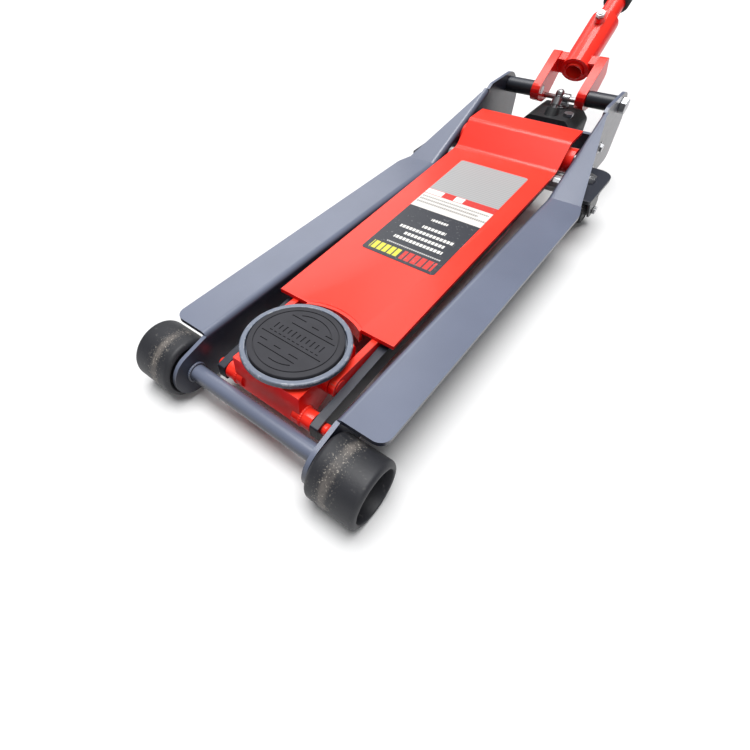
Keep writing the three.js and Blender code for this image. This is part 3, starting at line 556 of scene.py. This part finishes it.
def turnedMesh(name, profile, start, direction, segments=96):
    # profile is [radius, along] in millimetres; it starts and ends on the axis, or closes on itself
    axis = Vector(direction).normalized()
    side = axis.orthogonal().normalized()
    other = axis.cross(side)
    mesh = bpy.data.meshes.new(name)
    work = bmesh.new()
    rings = []
    points = profile[:-1] if profile[0] == profile[-1] else profile
    for radius, along in points:
        centre = Vector(start) + axis * along * mm
        if radius == 0:
            rings.append([work.verts.new(centre)])
            continue
        ring = []
        for i in range(segments):
            turn = 2 * math.pi * i / segments
            out = side * math.cos(turn) + other * math.sin(turn)
            ring.append(work.verts.new(centre + out * radius * mm))
        rings.append(ring)
    if profile[0] == profile[-1]:
        rings.append(rings[0])
    for low, high in zip(rings, rings[1:]):
        for i in range(segments):
            j = (i + 1) % segments
            corners = [low[i % len(low)], low[j % len(low)], high[j % len(high)], high[i % len(high)]]
            seen = list(dict.fromkeys(corners))
            if len(seen) > 2:
                work.faces.new(seen)
    bmesh.ops.recalc_face_normals(work, faces=work.faces)
    work.to_mesh(mesh)
    work.free()
    return mesh


def turnedPiece(node, profile, start, direction, material, soft, segments=96):
    piece = newPiece(node + "_fine", turnedMesh(node, profile, start, direction, segments), material)
    if soft:
        softenEdges(piece, soft)
    return piece


def dressed(node, material, soft, angle=25, smoothAngle=24):
    # a CAD node's own shape, merged into clean faces, with its edges broken
    mesh = frame["nodes"][node].data.copy()
    work = bmesh.new()
    work.from_mesh(mesh)
    bmesh.ops.remove_doubles(work, verts=work.verts, dist=0.00002)
    bmesh.ops.dissolve_limit(work, angle_limit=math.radians(1.0), verts=work.verts, edges=work.edges)
    work.to_mesh(mesh)
    work.free()
    piece = newPiece(node + "_fine", mesh, material, smoothAngle)
    softenEdges(piece, soft, angle)
    return standsFor(piece, node)


def lowHigh(node):
    low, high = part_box(node)
    return Vector(low), Vector(high)


def fromAxle(x, y, z):
    # millimetres from the point on the floor below the front axle, as a place in the row frame
    return Vector((x, y, z)) * mm + Vector((0, originShift, 0))


def sides(name):
    return ((name + "_left", -1), (name + "_right", 1))


frameShape = {
    "plateEdge": 0.9, "smallPlateEdge": 0.7, "web": 95,
    "axleHeight": 36, "axleRadius": 10, "axleGap": 0.3, "shaftRadius": 7,
    "collarRadius": 11, "collarFrom": 4, "collarTo": 8,  # from each end of the shaft
    "weldX": 88.6, "weldRadius": 10.8, "weldThick": 1.7,
}


def buildFrame(look):
    print("frame")
    for node, _ in sides("side_plate"):
        dressed(node, "satinSlateEnamel", look["plateEdge"], 14)
    # the caster plates take the dark paint as painted shade, for the shadow on their outward-turned face
    for node, _ in sides("caster_plate"):
        dressed(node, "dullBlackEnamel", look["smallPlateEdge"], 14)
    dressed("power_unit_plate", "satinSlateEnamel", look["smallPlateEdge"])
    axle = fromAxle(0, 0, look["axleHeight"])
    low, high = lowHigh("front_axle_tube")
    bore = look["shaftRadius"] + look["axleGap"]
    tube = [(bore, low.x / mm), (look["axleRadius"], low.x / mm), (look["axleRadius"], high.x / mm),
            (bore, high.x / mm)]
    piece = turnedPiece("front_axle_tube", [*tube, tube[0]], axle, (1, 0, 0), "satinSlateEnamel", 0.4)
    standsFor(piece, "front_axle_tube")
    low, high = lowHigh("front_axle_shaft")
    thin, thick = look["shaftRadius"], look["collarRadius"]
    end = high.x / mm
    near, far = end - look["collarFrom"], end - look["collarTo"]
    shaft = [(0, -end), (thin, -end), (thin, -near), (thick, -near), (thick, -far), (thin, -far),
             (thin, far), (thick, far), (thick, near), (thin, near), (thin, end), (0, end)]
    piece = turnedPiece("front_axle_shaft", shaft, axle, (1, 0, 0), "zincPlatedSteel", 0.6)
    standsFor(piece, "front_axle_shaft")
    for name, side in sides("axle_weld"):
        centre = axle + Vector((side * look["weldX"] * mm, 0, 0))
        bead = weldBead(name, centre, look["weldRadius"], look["weldThick"], "satinSlateEnamel")
        addsTo(bead, "chassis")


beadShape = {"steps": 180, "facets": 10, "ripples": 15, "ripple": 0.16, "waves": 4, "wave": 0.06}


def weldBead(name, centre, radius, thick, material):
    # a fillet run round a crosswise joint: a ring that swells and thins with each stacked ripple
    look = beadShape
    axis = Vector((1, 0, 0))
    side = axis.orthogonal().normalized()
    other = axis.cross(side)
    work = bmesh.new()
    rings = []
    for i in range(look["steps"]):
        turn = 2 * math.pi * i / look["steps"]
        out = side * math.cos(turn) + other * math.sin(turn)
        stacked = look["ripple"] * abs(math.sin(turn * look["ripples"]))
        grow = thick * (1 + stacked + look["wave"] * math.sin(turn * look["waves"] + 1)) * mm
        ring = []
        for k in range(look["facets"]):
            about = 2 * math.pi * k / look["facets"]
            place = centre + out * (radius * mm + grow * math.cos(about)) + axis * grow * math.sin(about)
            ring.append(work.verts.new(place))
        rings.append(ring)
    for low, high in zip(rings, rings[1:] + rings[:1]):
        for k in range(look["facets"]):
            j = (k + 1) % look["facets"]
            work.faces.new([low[k], low[j], high[j], high[k]])
    bmesh.ops.recalc_face_normals(work, faces=work.faces)
    mesh = bpy.data.meshes.new(name)
    work.to_mesh(mesh)
    work.free()
    return newPiece(name, mesh, material, 60)


wheelShape = {
    "radius": 36, "inside": 97, "outside": 154, "bore": 7.4, "shoulder": 5.5, "shoulderSteps": 6,
    # the deep dish in the outer end, and the shallow one round the hub in the inner end
    "dish": 28.5, "dishFloor": 31, "lip": 0.8, "hub": 13, "hubDepth": 10, "innerDish": 28.2,
}


def wheelProfile(look):
    inner, outer, radius, bend = look["inside"], look["outside"], look["radius"], look["shoulder"]
    floor, hub, dish = outer - look["dishFloor"], look["hub"], look["dish"]
    shoulder = [math.pi / 2 * i / look["shoulderSteps"] for i in range(look["shoulderSteps"] + 1)]
    points = [(look["bore"], inner + look["hubDepth"]), (hub - 1, inner + look["hubDepth"])]
    points += [(hub, inner + look["hubDepth"] - 1), (25.5, inner + look["hubDepth"] - 1)]
    points += [(27.5, inner + 7.5), (look["innerDish"], inner + 2), (29.5, inner + 0.6)]
    points += [(radius - bend + bend * math.sin(t), inner + bend - bend * math.cos(t)) for t in shoulder]
    points += [(radius - bend + bend * math.cos(t), outer - bend + bend * math.sin(t)) for t in shoulder]
    points += [(29.8, outer - 0.1), (29.0, outer - look["lip"]), (dish, outer - 3), (dish - 0.8, floor + 3)]
    points += [(26, floor + 0.6), (hub + 1, floor), (hub, floor + 2), (look["bore"], floor + 2)]
    return [*points, points[0]]


def buildWheels(look):
    print("wheels")
    profile = wheelProfile(look)
    for node, side in sides("front_wheel"):
        centre = fromAxle(0, 0, look["radius"])
        piece = turnedPiece(node, profile, centre, (side, 0, 0), "dustyMouldedNylon", 0, 128)
        standsFor(piece, node)


casterShape = {
    "radius": 25, "half": 11, "hub": 13, "hubRadius": 9.5, "bore": 4.5, "recess": 1.5, "recessTo": 18.5,
    "crown": 2, "crownHalf": 8.5, "crownSteps": 6,
}


def buildCasters(look):
    print("casters")
    half, edge = look["half"], look["radius"] - look["crown"]
    for node, _ in sides("caster_wheel"):
        low, high = lowHigh(node)
        cheek = [(look["bore"], -look["hub"]), (look["hubRadius"], -look["hub"]),
                 (look["hubRadius"] + 1, -half + look["recess"]), (look["recessTo"], -half + look["recess"]),
                 (look["recessTo"] + 1, -half), (edge, -half + 0.8)]
        crown = []
        for i in range(look["crownSteps"] + 1):
            turn = math.pi * (i / look["crownSteps"] - 0.5)
            crown.append((edge + look["crown"] * math.cos(turn), look["crownHalf"] * math.sin(turn)))
        tread = [*cheek, *crown, *((radius, -along) for radius, along in reversed(cheek))]
        centre = (low + high) / 2
        piece = turnedPiece(node, [*tread, tread[0]], centre, (1, 0, 0), "dustyMouldedNylon", 0.4, 80)
        standsFor(piece, node)
    finishes = {"fork": "dullBlackEnamel", "kingpin": "zincPlatedSteel", "axle": "zincPlatedSteel"}
    for part, material in finishes.items():
        for name, _ in sides("caster_" + part):
            dressed(name, material, 0.5)


armShape = {
    # how far each edge is rounded over
    "plateEdge": 0.9, "flatEdge": 0.7, "tubeEdge": 0.6, "yokeEdge": 1.1, "rodEdge": 0.8, "pinEdge": 0.5,
    # where the yoke's cross tube is welded to its cheeks, from the front axle
    "weldX": 46.5, "weldY": 29, "weldZ": 36, "weldRadius": 9.6, "weldThick": 2.4,
}


def buildArm(look):
    print("arm")
    dressed("arm_top_plate", "glossRedEnamel", look["plateEdge"], 14)
    for node in ("arm_cheek", "link_pin"):
        for name, _ in sides(node):
            dressed(name, "glossRedEnamel", look["flatEdge"], 14)
    dressed("arm_brace", "glossRedEnamel", look["flatEdge"])
    dressed("arm_pivot_tube", "glossRedEnamel", look["tubeEdge"])
    dressed("saddle_yoke", "glossRedEnamel", look["yokeEdge"], 36, 36)
    for name, side in sides("yoke_weld"):
        centre = fromAxle(side * look["weldX"], look["weldY"], look["weldZ"])
        bead = weldBead(name, centre, look["weldRadius"], look["weldThick"], "glossRedEnamel")
        addsTo(bead, "saddle_yoke")
    dressed("ram_pin", "zincPlatedSteel", look["pinEdge"])
    dressed("arm_shaft", "zincPlatedSteel", look["rodEdge"])
    dressed("arm_shaft_nut", "zincPlatedSteel", look["rodEdge"])
    for name, _ in sides("link_rod"):
        dressed(name, "dullBlackEnamel", look["rodEdge"], 14)
    for name, _ in sides("rod_rear_pin"):
        dressed(name, "zincPlatedSteel", look["pinEdge"])
    for name, _ in sides("yoke_pin"):
        dressed(name, "glossRedEnamel", look["pinEdge"])


labelShape = {
    "left": -50, "right": 55, "start": 257, "end": 520, "thick": 0.35, "lift": 0.05,
    "corner": 4, "cornerSteps": 6,
    "plateFront": 135.4, "plateTop": 71.7, "rise": 2.5,  # the arm's plate, which rises to the rear
}


def buildLabel(look):
    print("label")
    rise = math.tan(math.radians(look["rise"]))

    def onPlate(x, y, lift):
        return fromAxle(x, y, look["plateTop"] + rise * (y - look["plateFront"]) + lift)

    corner, steps = look["corner"], look["cornerSteps"]
    left, right = look["left"] + corner, look["right"] - corner
    start, end = look["start"] + corner, look["end"] - corner
    outline = []
    for x, y, begin in ((right, start, -90), (right, end, 0), (left, end, 90), (left, start, 180)):
        for i in range(steps + 1):
            turn = math.radians(begin + 90 / steps * i)
            outline.append((x + corner * math.cos(turn), y + corner * math.sin(turn)))
    work = bmesh.new()
    top = [work.verts.new(onPlate(x, y, look["thick"])) for x, y in outline]
    foot = [work.verts.new(onPlate(x, y, look["lift"])) for x, y in outline]
    work.faces.new(top)
    work.faces.new(list(reversed(foot)))
    for i in range(len(top)):
        j = (i + 1) % len(top)
        work.faces.new([foot[i], foot[j], top[j], top[i]])
    mesh = bpy.data.meshes.new("arm_label")
    work.to_mesh(mesh)
    work.free()
    addsTo(newPiece("arm_label", mesh, "printedVinyl"), "lift_arm")


saddleShape = {
    # radii, and heights above the floor
    "radius": 60, "stem": 14, "pad": 52, "foot": 32, "seat": 70.3, "floor": 76, "rim": 82, "padTop": 84,
    "padGap": 0.3, "facets": 144, "grooveRadius": 45, "grooveWidth": 1.5, "grooveDepth": 1.2,
    # sunk into the pad: x, y and length of each bar, then radius, start and end of each arc,
    # and a band of upright strokes across the middle over a dashed line
    "bars": [(9, 17, 58), (0, -9, 80), (-4, -27, 50), (-18, 27, 20), (6, 25, 9), (26, 23, 9),
             (-28, -19, 10), (-8, -20, 9), (14, -20, 12)],
    "arcs": [(37, 42, 120), (36.5, 262, 302)], "arcSteps": 24, "arcHalf": 0.65,
    "barWidth": 1.4, "barDepth": 1.3, "strokes": 11, "strokePitch": 6.2, "strokeWidth": 1.6,
    "strokeLength": 9, "strokeMiddle": 5, "underline": -4, "dashLength": 3.6, "dashWidth": 1.1,
}


def saddleProfiles(look):
    radius, rim, stem, seat = look["radius"], look["rim"], look["stem"], look["seat"]
    foot, floor, pad, top = look["foot"], look["floor"], look["pad"], look["padTop"]
    neck = stem - 2  # the groove that the snap ring sits in
    cup = [(0, foot), (stem, foot), (stem, foot + 4), (neck, foot + 4), (neck, foot + 7), (stem, foot + 7),
           (stem, seat), (42, seat), (50, 71.6), (56, 73.2), (radius - 1.2, 74.6), (radius, 76.2),
           (radius, rim - 1.6), (radius - 0.5, rim - 0.6), (radius - 1.6, rim), (pad + 2.4, rim),
           (pad + 1.7, rim - 0.7), (pad + 1.6, floor), (0, floor)]
    groove, half, deep = look["grooveRadius"], look["grooveWidth"] / 2, top - look["grooveDepth"]
    low = floor + look["padGap"]
    disc = [(0, low), (pad, low), (pad, top - 1.8), (pad - 0.5, top - 0.6), (pad - 1.8, top),
            (groove + half, top), (groove + half * 0.6, deep), (groove - half * 0.6, deep),
            (groove - half, top), (0, top)]
    return cup, disc


def padCuts(look, centre):
    # one mesh of everything that is sunk into the pad
    top, depth, half = look["padTop"], look["barDepth"], look["arcHalf"]
    first = -look["strokePitch"] * (look["strokes"] - 1) / 2
    sunk = [(x, y, length, look["barWidth"]) for x, y, length in look["bars"]]
    for i in range(look["strokes"]):
        x = first + look["strokePitch"] * i
        # every other stroke is a little shorter
        sunk.append((x, look["strokeMiddle"], look["strokeWidth"], look["strokeLength"] - 2 * (i % 2)))
        sunk.append((x, look["underline"], look["dashLength"], look["dashWidth"]))
    work = bmesh.new()
    for x, y, length, width in sunk:
        place = Matrix.Translation(centre + Vector((x, y, top)) * mm)
        size = Matrix.Diagonal((length * mm, width * mm, 2 * depth * mm, 1))
        bmesh.ops.create_cube(work, size=1.0, matrix=place @ size)
    for arcRadius, begin, end in look["arcs"]:
        rings = []
        for i in range(look["arcSteps"] + 1):
            turn = math.radians(begin + (end - begin) * i / look["arcSteps"])
            out = Vector((math.cos(turn), math.sin(turn), 0))
            ring = []
            for dr, dz in ((-half, -depth), (half, -depth), (half, depth), (-half, depth)):
                corner = out * (arcRadius + dr) + Vector((0, 0, top + dz))
                ring.append(work.verts.new(centre + corner * mm))
            rings.append(ring)
        for a, b in zip(rings, rings[1:]):
            for k in range(4):
                work.faces.new([a[k], a[(k + 1) % 4], b[(k + 1) % 4], b[k]])
        work.faces.new(list(reversed(rings[0])))
        work.faces.new(rings[-1])
    bmesh.ops.recalc_face_normals(work, faces=work.faces)
    mesh = bpy.data.meshes.new("padCuts")
    work.to_mesh(mesh)
    work.free()
    cutter = bpy.data.objects.new("padCuts", mesh)
    bpy.context.scene.collection.objects.link(cutter)
    return cutter


def buildSaddle(look):
    print("saddle")
    low, high = lowHigh("saddle_cup")
    centre = Vector(((low.x + high.x) / 2, (low.y + high.y) / 2, 0))
    cup, disc = saddleProfiles(look)
    facets = look["facets"]
    piece = turnedPiece("saddle_cup", cup, centre, (0, 0, 1), "rubbedSlateEnamel", 0.45, facets)
    standsFor(piece, "saddle_cup")
    blank = newPiece("saddle_pad_blank", turnedMesh("saddle_pad", disc, centre, (0, 0, 1), facets),
                     "mouldedPadRubber")
    cutter = padCuts(look, centre)
    boolean = blank.modifiers.new("bars", "BOOLEAN")
    boolean.operation = "DIFFERENCE"
    boolean.solver = "EXACT"
    boolean.object = cutter
    mesh = plainMesh(blank)
    bpy.data.objects.remove(cutter)
    standsFor(newPiece("saddle_pad_fine", mesh, "mouldedPadRubber"), "saddle_pad")
    dressed("saddle_snap_ring", "zincPlatedSteel", 0.3)


unitShape = {
    "cylinderRadius": 27, "cylinderBore": 20, "glandRadius": 24, "glandBore": 13.4,
    "rodRadius": 13, "pistonRadius": 19.6, "pistonLength": 14,
}


def buildPowerUnit(look):
    # the cylinder, its gland and the rod are turned about the jack's own length
    print("power unit")
    low, high = lowHigh("ram_cylinder")
    middle = Vector((0, 0, (low.z + high.z) / 2))
    bore, outer = look["cylinderBore"], look["cylinderRadius"]
    start, end = low.y / mm, high.y / mm
    wall = [(bore, start), (outer - 0.8, start), (outer, start + 0.8), (outer, end), (bore, end)]
    piece = turnedPiece("ram_cylinder", [*wall, wall[0]], middle, (0, 1, 0), "dullBlackEnamel", 0.4)
    standsFor(piece, "ram_cylinder")
    low, high = lowHigh("cylinder_gland")
    bore, outer = look["glandBore"], look["glandRadius"]
    start, end = low.y / mm, high.y / mm
    ring = [(bore, start), (outer - 2, start), (outer, start + 1.5), (outer, end), (bore, end)]
    piece = turnedPiece("cylinder_gland", [*ring, ring[0]], middle, (0, 1, 0), "zincPlatedSteel", 0.3)
    standsFor(piece, "cylinder_gland")
    low, high = lowHigh("ram_rod")
    thin, thick = look["rodRadius"], look["pistonRadius"]
    start, end = low.y / mm, high.y / mm
    step = end - look["pistonLength"]
    rod = [(0, start), (thin, start), (thin, step), (thick, step), (thick, end), (0, end)]
    standsFor(turnedPiece("ram_rod", rod, middle, (0, 1, 0), "groundHardChrome", 0.5), "ram_rod")
    dressed("ram_head", "sandCastIron", 1.0)
    dressed("pump_block", "sandCastIron", 1.4, 20)
    for node in ("filler_plug", "plunger_gland", "pump_plunger", "release_spindle"):
        dressed(node, "zincPlatedSteel", 0.4)
    for part, material in (("bolt", "zincPlatedSteel"), ("spacer", "dullBlackEnamel")):
        for name, _ in sides("socket_" + part):
            dressed(name, material, 0.5)


boltShape = {
    "radius": 6.5, "height": 5.2, "edge": 0.5, "sunk": 0.2,
    "washerShare": 1.4,  # the washer's radius for each radius of head
    "blockX": 34, "blockZ": (30, 78), "plateY": 710, "webZ": (34, 74),
}


def boltHeads(look):
    # a node tree that stands a hexagon head on its washer at each point, along the point's own direction
    tree = bpy.data.node_groups.new("bolt heads", "GeometryNodeTree")
    for name, way, kind in (("Points", "INPUT", "Geometry"), ("Head Radius", "INPUT", "Float"),
                            ("Head Height", "INPUT", "Float"), ("Geometry", "OUTPUT", "Geometry")):
        tree.interface.new_socket(name, in_out=way, socket_type="NodeSocket" + kind)
    given = add(tree, "NodeGroupInput")
    half = add(tree, "ShaderNodeMath", {"operation": "MULTIPLY"}, {0: given.outputs["Head Height"], 1: 0.5})
    wide = add(tree, "ShaderNodeMath", {"operation": "MULTIPLY"}, {
        0: given.outputs["Head Radius"], 1: look["washerShare"],
    })
    head = add(tree, "GeometryNodeMeshCylinder", None, {
        "Vertices": 6, "Radius": given.outputs["Head Radius"], "Depth": given.outputs["Head Height"],
    })
    washer = add(tree, "GeometryNodeMeshCylinder", None, {
        "Vertices": 48, "Radius": wide.outputs[0], "Depth": half.outputs[0],
    })
    lift = add(tree, "ShaderNodeCombineXYZ", None, {"Z": half.outputs[0]})
    raised = add(tree, "GeometryNodeTransform", None, {
        "Geometry": head.outputs["Mesh"], "Translation": lift.outputs["Vector"],
    })
    stack = add(tree, "GeometryNodeJoinGeometry")
    tree.links.new(raised.outputs["Geometry"], stack.inputs["Geometry"])
    tree.links.new(washer.outputs["Mesh"], stack.inputs["Geometry"])
    aim = add(tree, "GeometryNodeInputNamedAttribute", {"data_type": "FLOAT_VECTOR"}, {"Name": "aim"})
    turn = add(tree, "FunctionNodeAlignRotationToVector", {"axis": "Z"}, {"Vector": aim.outputs["Attribute"]})
    placed = add(tree, "GeometryNodeInstanceOnPoints", None, {
        "Points": given.outputs["Points"], "Instance": stack.outputs["Geometry"],
        "Rotation": turn.outputs["Rotation"],
    })
    real = add(tree, "GeometryNodeRealizeInstances", None, {"Geometry": placed.outputs["Instances"]})
    finish = add(tree, "GeometryNodeSetMaterial", None, {"Geometry": real.outputs["Geometry"]})
    finish.inputs["Material"].default_value = materials["zincPlatedSteel"]
    out = add(tree, "NodeGroupOutput")
    tree.links.new(finish.outputs["Geometry"], out.inputs["Geometry"])
    return tree


def buildBolts(look):
    # four through the pump block, and two through each web into the cross plate
    print("bolts")
    rear = lowHigh("pump_block")[1].y - look["sunk"] * mm
    spots = []
    for x in (-look["blockX"], look["blockX"]):
        for z in look["blockZ"]:
            spots.append(((x * mm, rear, z * mm), (0, 1, 0)))
    for side in (-1, 1):
        outer = side * (frameShape["web"] - look["sunk"]) * mm
        for z in look["webZ"]:
            spots.append(((outer, look["plateY"] * mm + originShift, z * mm), (side, 0, 0)))
    points = bpy.data.meshes.new("boltPoints")
    points.from_pydata([place for place, _ in spots], [], [])
    attribute = points.attributes.new("aim", "FLOAT_VECTOR", "POINT")
    for entry, (_, direction) in zip(attribute.data, spots):
        entry.vector = direction
    draft = bpy.data.objects.new("boltPoints", points)
    bpy.context.scene.collection.objects.link(draft)
    modifier = draft.modifiers.new("bolt heads", "NODES")
    modifier.node_group = boltHeads(look)
    for item in modifier.node_group.interface.items_tree:
        if item.name == "Head Radius":
            modifier[item.identifier] = look["radius"] * mm
        if item.name == "Head Height":
            modifier[item.identifier] = look["height"] * mm
    piece = newPiece("unit_bolts", plainMesh(draft), "zincPlatedSteel")
    addsTo(softenEdges(piece, look["edge"]), "chassis")


springShape = {
    "coil": 5.6, "wire": 1.4, "turns": 15, "stepsPerTurn": 24,
    "taper": 14,  # at each end the coil closes in over its length divided by this
    "tail": 1.5,
}


def buildSprings(look):
    # each spring runs from the ram pin to the cross plate
    print("springs")
    for node, _ in sides("return_spring"):
        low, high = lowHigh(node)
        middle = (low + high) / 2
        start, end = low.y, high.y
        path = []
        count = look["turns"] * look["stepsPerTurn"]
        for i in range(count + 1):
            t = i / count
            turn = 2 * math.pi * look["turns"] * t
            fade = min(1.0, t * look["taper"], (1 - t) * look["taper"])
            path.append(Vector((
                middle.x + look["coil"] * mm * fade * math.cos(turn),
                start + (end - start) * t,
                middle.z + look["coil"] * mm * fade * math.sin(turn),
            )))
        path[0].y -= look["tail"] * mm
        path[-1].y += look["tail"] * mm
        curve = bpy.data.curves.new(node, "CURVE")
        curve.dimensions = "3D"
        curve.bevel_depth = look["wire"] * mm
        curve.bevel_resolution = 3
        curve.use_fill_caps = True
        spline = curve.splines.new("POLY")
        spline.points.add(len(path) - 1)
        for point, place in zip(spline.points, path):
            point.co = (*place, 1.0)
        draft = bpy.data.objects.new(node + "_wire", curve)
        bpy.context.scene.collection.objects.link(draft)
        piece = newPiece(node + "_fine", plainMesh(draft), "zincPlatedSteel", 60)
        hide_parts(node)
        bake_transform(piece)


handleShape = {
    # the pivot is measured from the front axle, and lengths along the handle from the pivot
    "pivot": (0, 748, 128), "angle": 30, "rearmost": 1586,
    "radius": 15, "wall": 2.5, "gap": 0.3, "start": 44, "joint": 500, "overlap": 60,
    "gripRadius": 18, "gripLength": 135, "gripCap": 4, "rings": 16, "ringStart": 13, "ringPitch": 7,
    "bumperStart": 190, "bumperEnd": 430, "bumperRadius": 21,
}


def buildHandle(look):
    print("handle")
    turn = math.radians(look["angle"])
    direction = Vector((0, math.cos(turn), math.sin(turn)))
    pivot = fromAxle(*look["pivot"])
    outer, inner, gap, joint = look["radius"], look["radius"] - look["wall"], look["gap"], look["joint"]
    grip, length, cap = look["gripRadius"], look["gripLength"], look["gripCap"]
    end = (look["rearmost"] - look["pivot"][1] - (grip - 2) * math.sin(turn)) / math.cos(turn)

    lower = [(inner, look["start"]), (outer, look["start"]), (outer, joint), (inner, joint)]
    core, plug = inner - 3, inner - gap
    upper = [(core, joint - look["overlap"]), (plug, joint - look["overlap"]), (plug, joint + gap),
             (outer, joint + gap), (outer, end - cap), (core, end - cap)]
    skin = grip - 0.6
    rings = []
    for i in range(look["rings"]):
        at = look["ringStart"] + look["ringPitch"] * i
        rings += [(skin, at), (skin - 0.9, at + 1), (skin - 0.9, at + 2), (skin, at + 3)]
    sleeve = [(outer + gap, 0), (grip + 1.5, 0), (grip + 1.5, 4), (skin, 7), *rings, (skin, length - 4),
              (grip - 2.2, length - 1.2), (grip - 4, length), (0, length), (0, length - cap + gap),
              (outer + gap, length - cap + gap)]
    thick, foamLength = look["bumperRadius"], look["bumperEnd"] - look["bumperStart"]
    foam = [(outer + gap, 0), (thick - 2, 0), (thick, 2.5), (thick, foamLength - 2.5),
            (thick - 2, foamLength), (outer + gap, foamLength)]
    for node, profile, start, material, soft in (
        ("handle_lower", lower, 0, "glossRedEnamel", 0.5),
        ("handle_upper", upper, 0, "glossRedEnamel", 0.5),
        ("handle_grip", sleeve, end - length, "mouldedGripRubber", 0.4),
        ("handle_bumper", foam, look["bumperStart"], "closedCellFoam", 0.6),
    ):
        place = pivot + direction * start * mm
        standsFor(turnedPiece(node, [*profile, profile[0]], place, direction, material, soft), node)
    dressed("handle_button", "zincPlatedSteel", 0.5)
    dressed("handle_socket", "glossRedEnamel", 1.0, 22)
    dressed("pump_roller", "zincPlatedSteel", 0.5)
    dressed("handle_screw", "zincPlatedSteel", 0.5)


buildFrame(frameShape)
buildWheels(wheelShape)
buildCasters(casterShape)
buildArm(armShape)
buildLabel(labelShape)
buildSaddle(saddleShape)
buildPowerUnit(unitShape)
buildBolts(boltShape)
buildSprings(springShape)
buildHandle(handleShape)


cameraView = {
    # in millimetres from the front axle, and degrees
    "place": (257.5, -187.0, 446.3), "azimuth": 43.19, "pitch": 46.16, "roll": -4.04,
    "lens": 23.71, "sensor": 36, "shift": (0.0913, -0.0324), "nearest": 0.01,
}


def placeCamera(look):
    azimuth, pitch, roll = (math.radians(look[key]) for key in ("azimuth", "pitch", "roll"))
    level = math.cos(pitch)
    ahead = Vector((-math.sin(azimuth) * level, math.cos(azimuth) * level, -math.sin(pitch)))
    right = Vector((math.cos(azimuth), math.sin(azimuth), 0))
    up = right.cross(ahead)
    tiltedRight = right * math.cos(roll) + up * math.sin(roll)
    tiltedUp = up * math.cos(roll) - right * math.sin(roll)
    turn = Matrix((tiltedRight, tiltedUp, -ahead)).transposed().to_4x4()
    data = bpy.data.cameras.new("camera")
    data.lens = look["lens"]
    data.sensor_width = look["sensor"]
    data.shift_x, data.shift_y = look["shift"]
    data.clip_start = look["nearest"]
    camera = bpy.data.objects.new("camera", data)
    bpy.context.scene.collection.objects.link(camera)
    camera.matrix_world = Matrix.Translation(fromAxle(*look["place"])) @ turn
    bpy.context.scene.camera = camera


floorLook = {"colour": "DCDCDC", "roughness": 0.9, "half": 60.0, "drop": 0.0005}


def placeFloor(look):
    # plain pale paint, level, just under the wheels
    mesh = bpy.data.meshes.new("studio_floor")
    half = look["half"]
    corners = [(-half, -half, 0), (half, -half, 0), (half, half, 0), (-half, half, 0)]
    mesh.from_pydata(corners, [], [(0, 1, 2, 3)])
    floor = bpy.data.objects.new("studio_floor", mesh)
    bpy.context.scene.collection.objects.link(floor)
    material, _, shader = newMaterial("studioFloor")
    shader.inputs["Base Color"].default_value = hexColour(look["colour"])
    shader.inputs["Roughness"].default_value = look["roughness"]
    mesh.materials.append(material)
    floor.location.z = -look["drop"]


studio = {
    "sun": {"name": "overhead diffuser", "place": (0.1, -0.4, 3.0), "strength": 4.0, "spread": 42},
    # name, place, aim, size, watts
    "areas": [
        ("far window", (-2.0, 1.4, 2.3), (0, -0.5, 0), 2.0, 28),
        ("near fill", (1.8, -2.4, 1.4), (0, -0.6, 0), 1.0, 7),
    ],
    "sky": "F4F6FA", "skyStrength": 0.24,
}


def placeLights(look):
    for name, place, aim, size, power in look["areas"]:
        data = bpy.data.lights.new(name, "AREA")
        data.shape = "SQUARE"
        data.size = size
        data.energy = power
        light = bpy.data.objects.new(name, data)
        light.location = place
        light.rotation_euler = (Vector(aim) - Vector(place)).to_track_quat("-Z", "Y").to_euler()
        bpy.context.scene.collection.objects.link(light)
    sun = bpy.data.lights.new(look["sun"]["name"], "SUN")
    sun.energy = look["sun"]["strength"]
    sun.angle = math.radians(look["sun"]["spread"])
    above = bpy.data.objects.new(look["sun"]["name"], sun)
    above.location = look["sun"]["place"]
    bpy.context.scene.collection.objects.link(above)
    world = bpy.data.worlds.new("studio")
    bpy.context.scene.world = world
    world.use_nodes = True
    background = world.node_tree.nodes["Background"]
    background.inputs["Color"].default_value = hexColour(look["sky"])
    background.inputs["Strength"].default_value = look["skyStrength"]


print("camera, floor and lights")
bpy.context.scene.view_settings.view_transform = "Standard"
placeCamera(cameraView)
placeFloor(floorLook)
placeLights(studio)

print("finished")
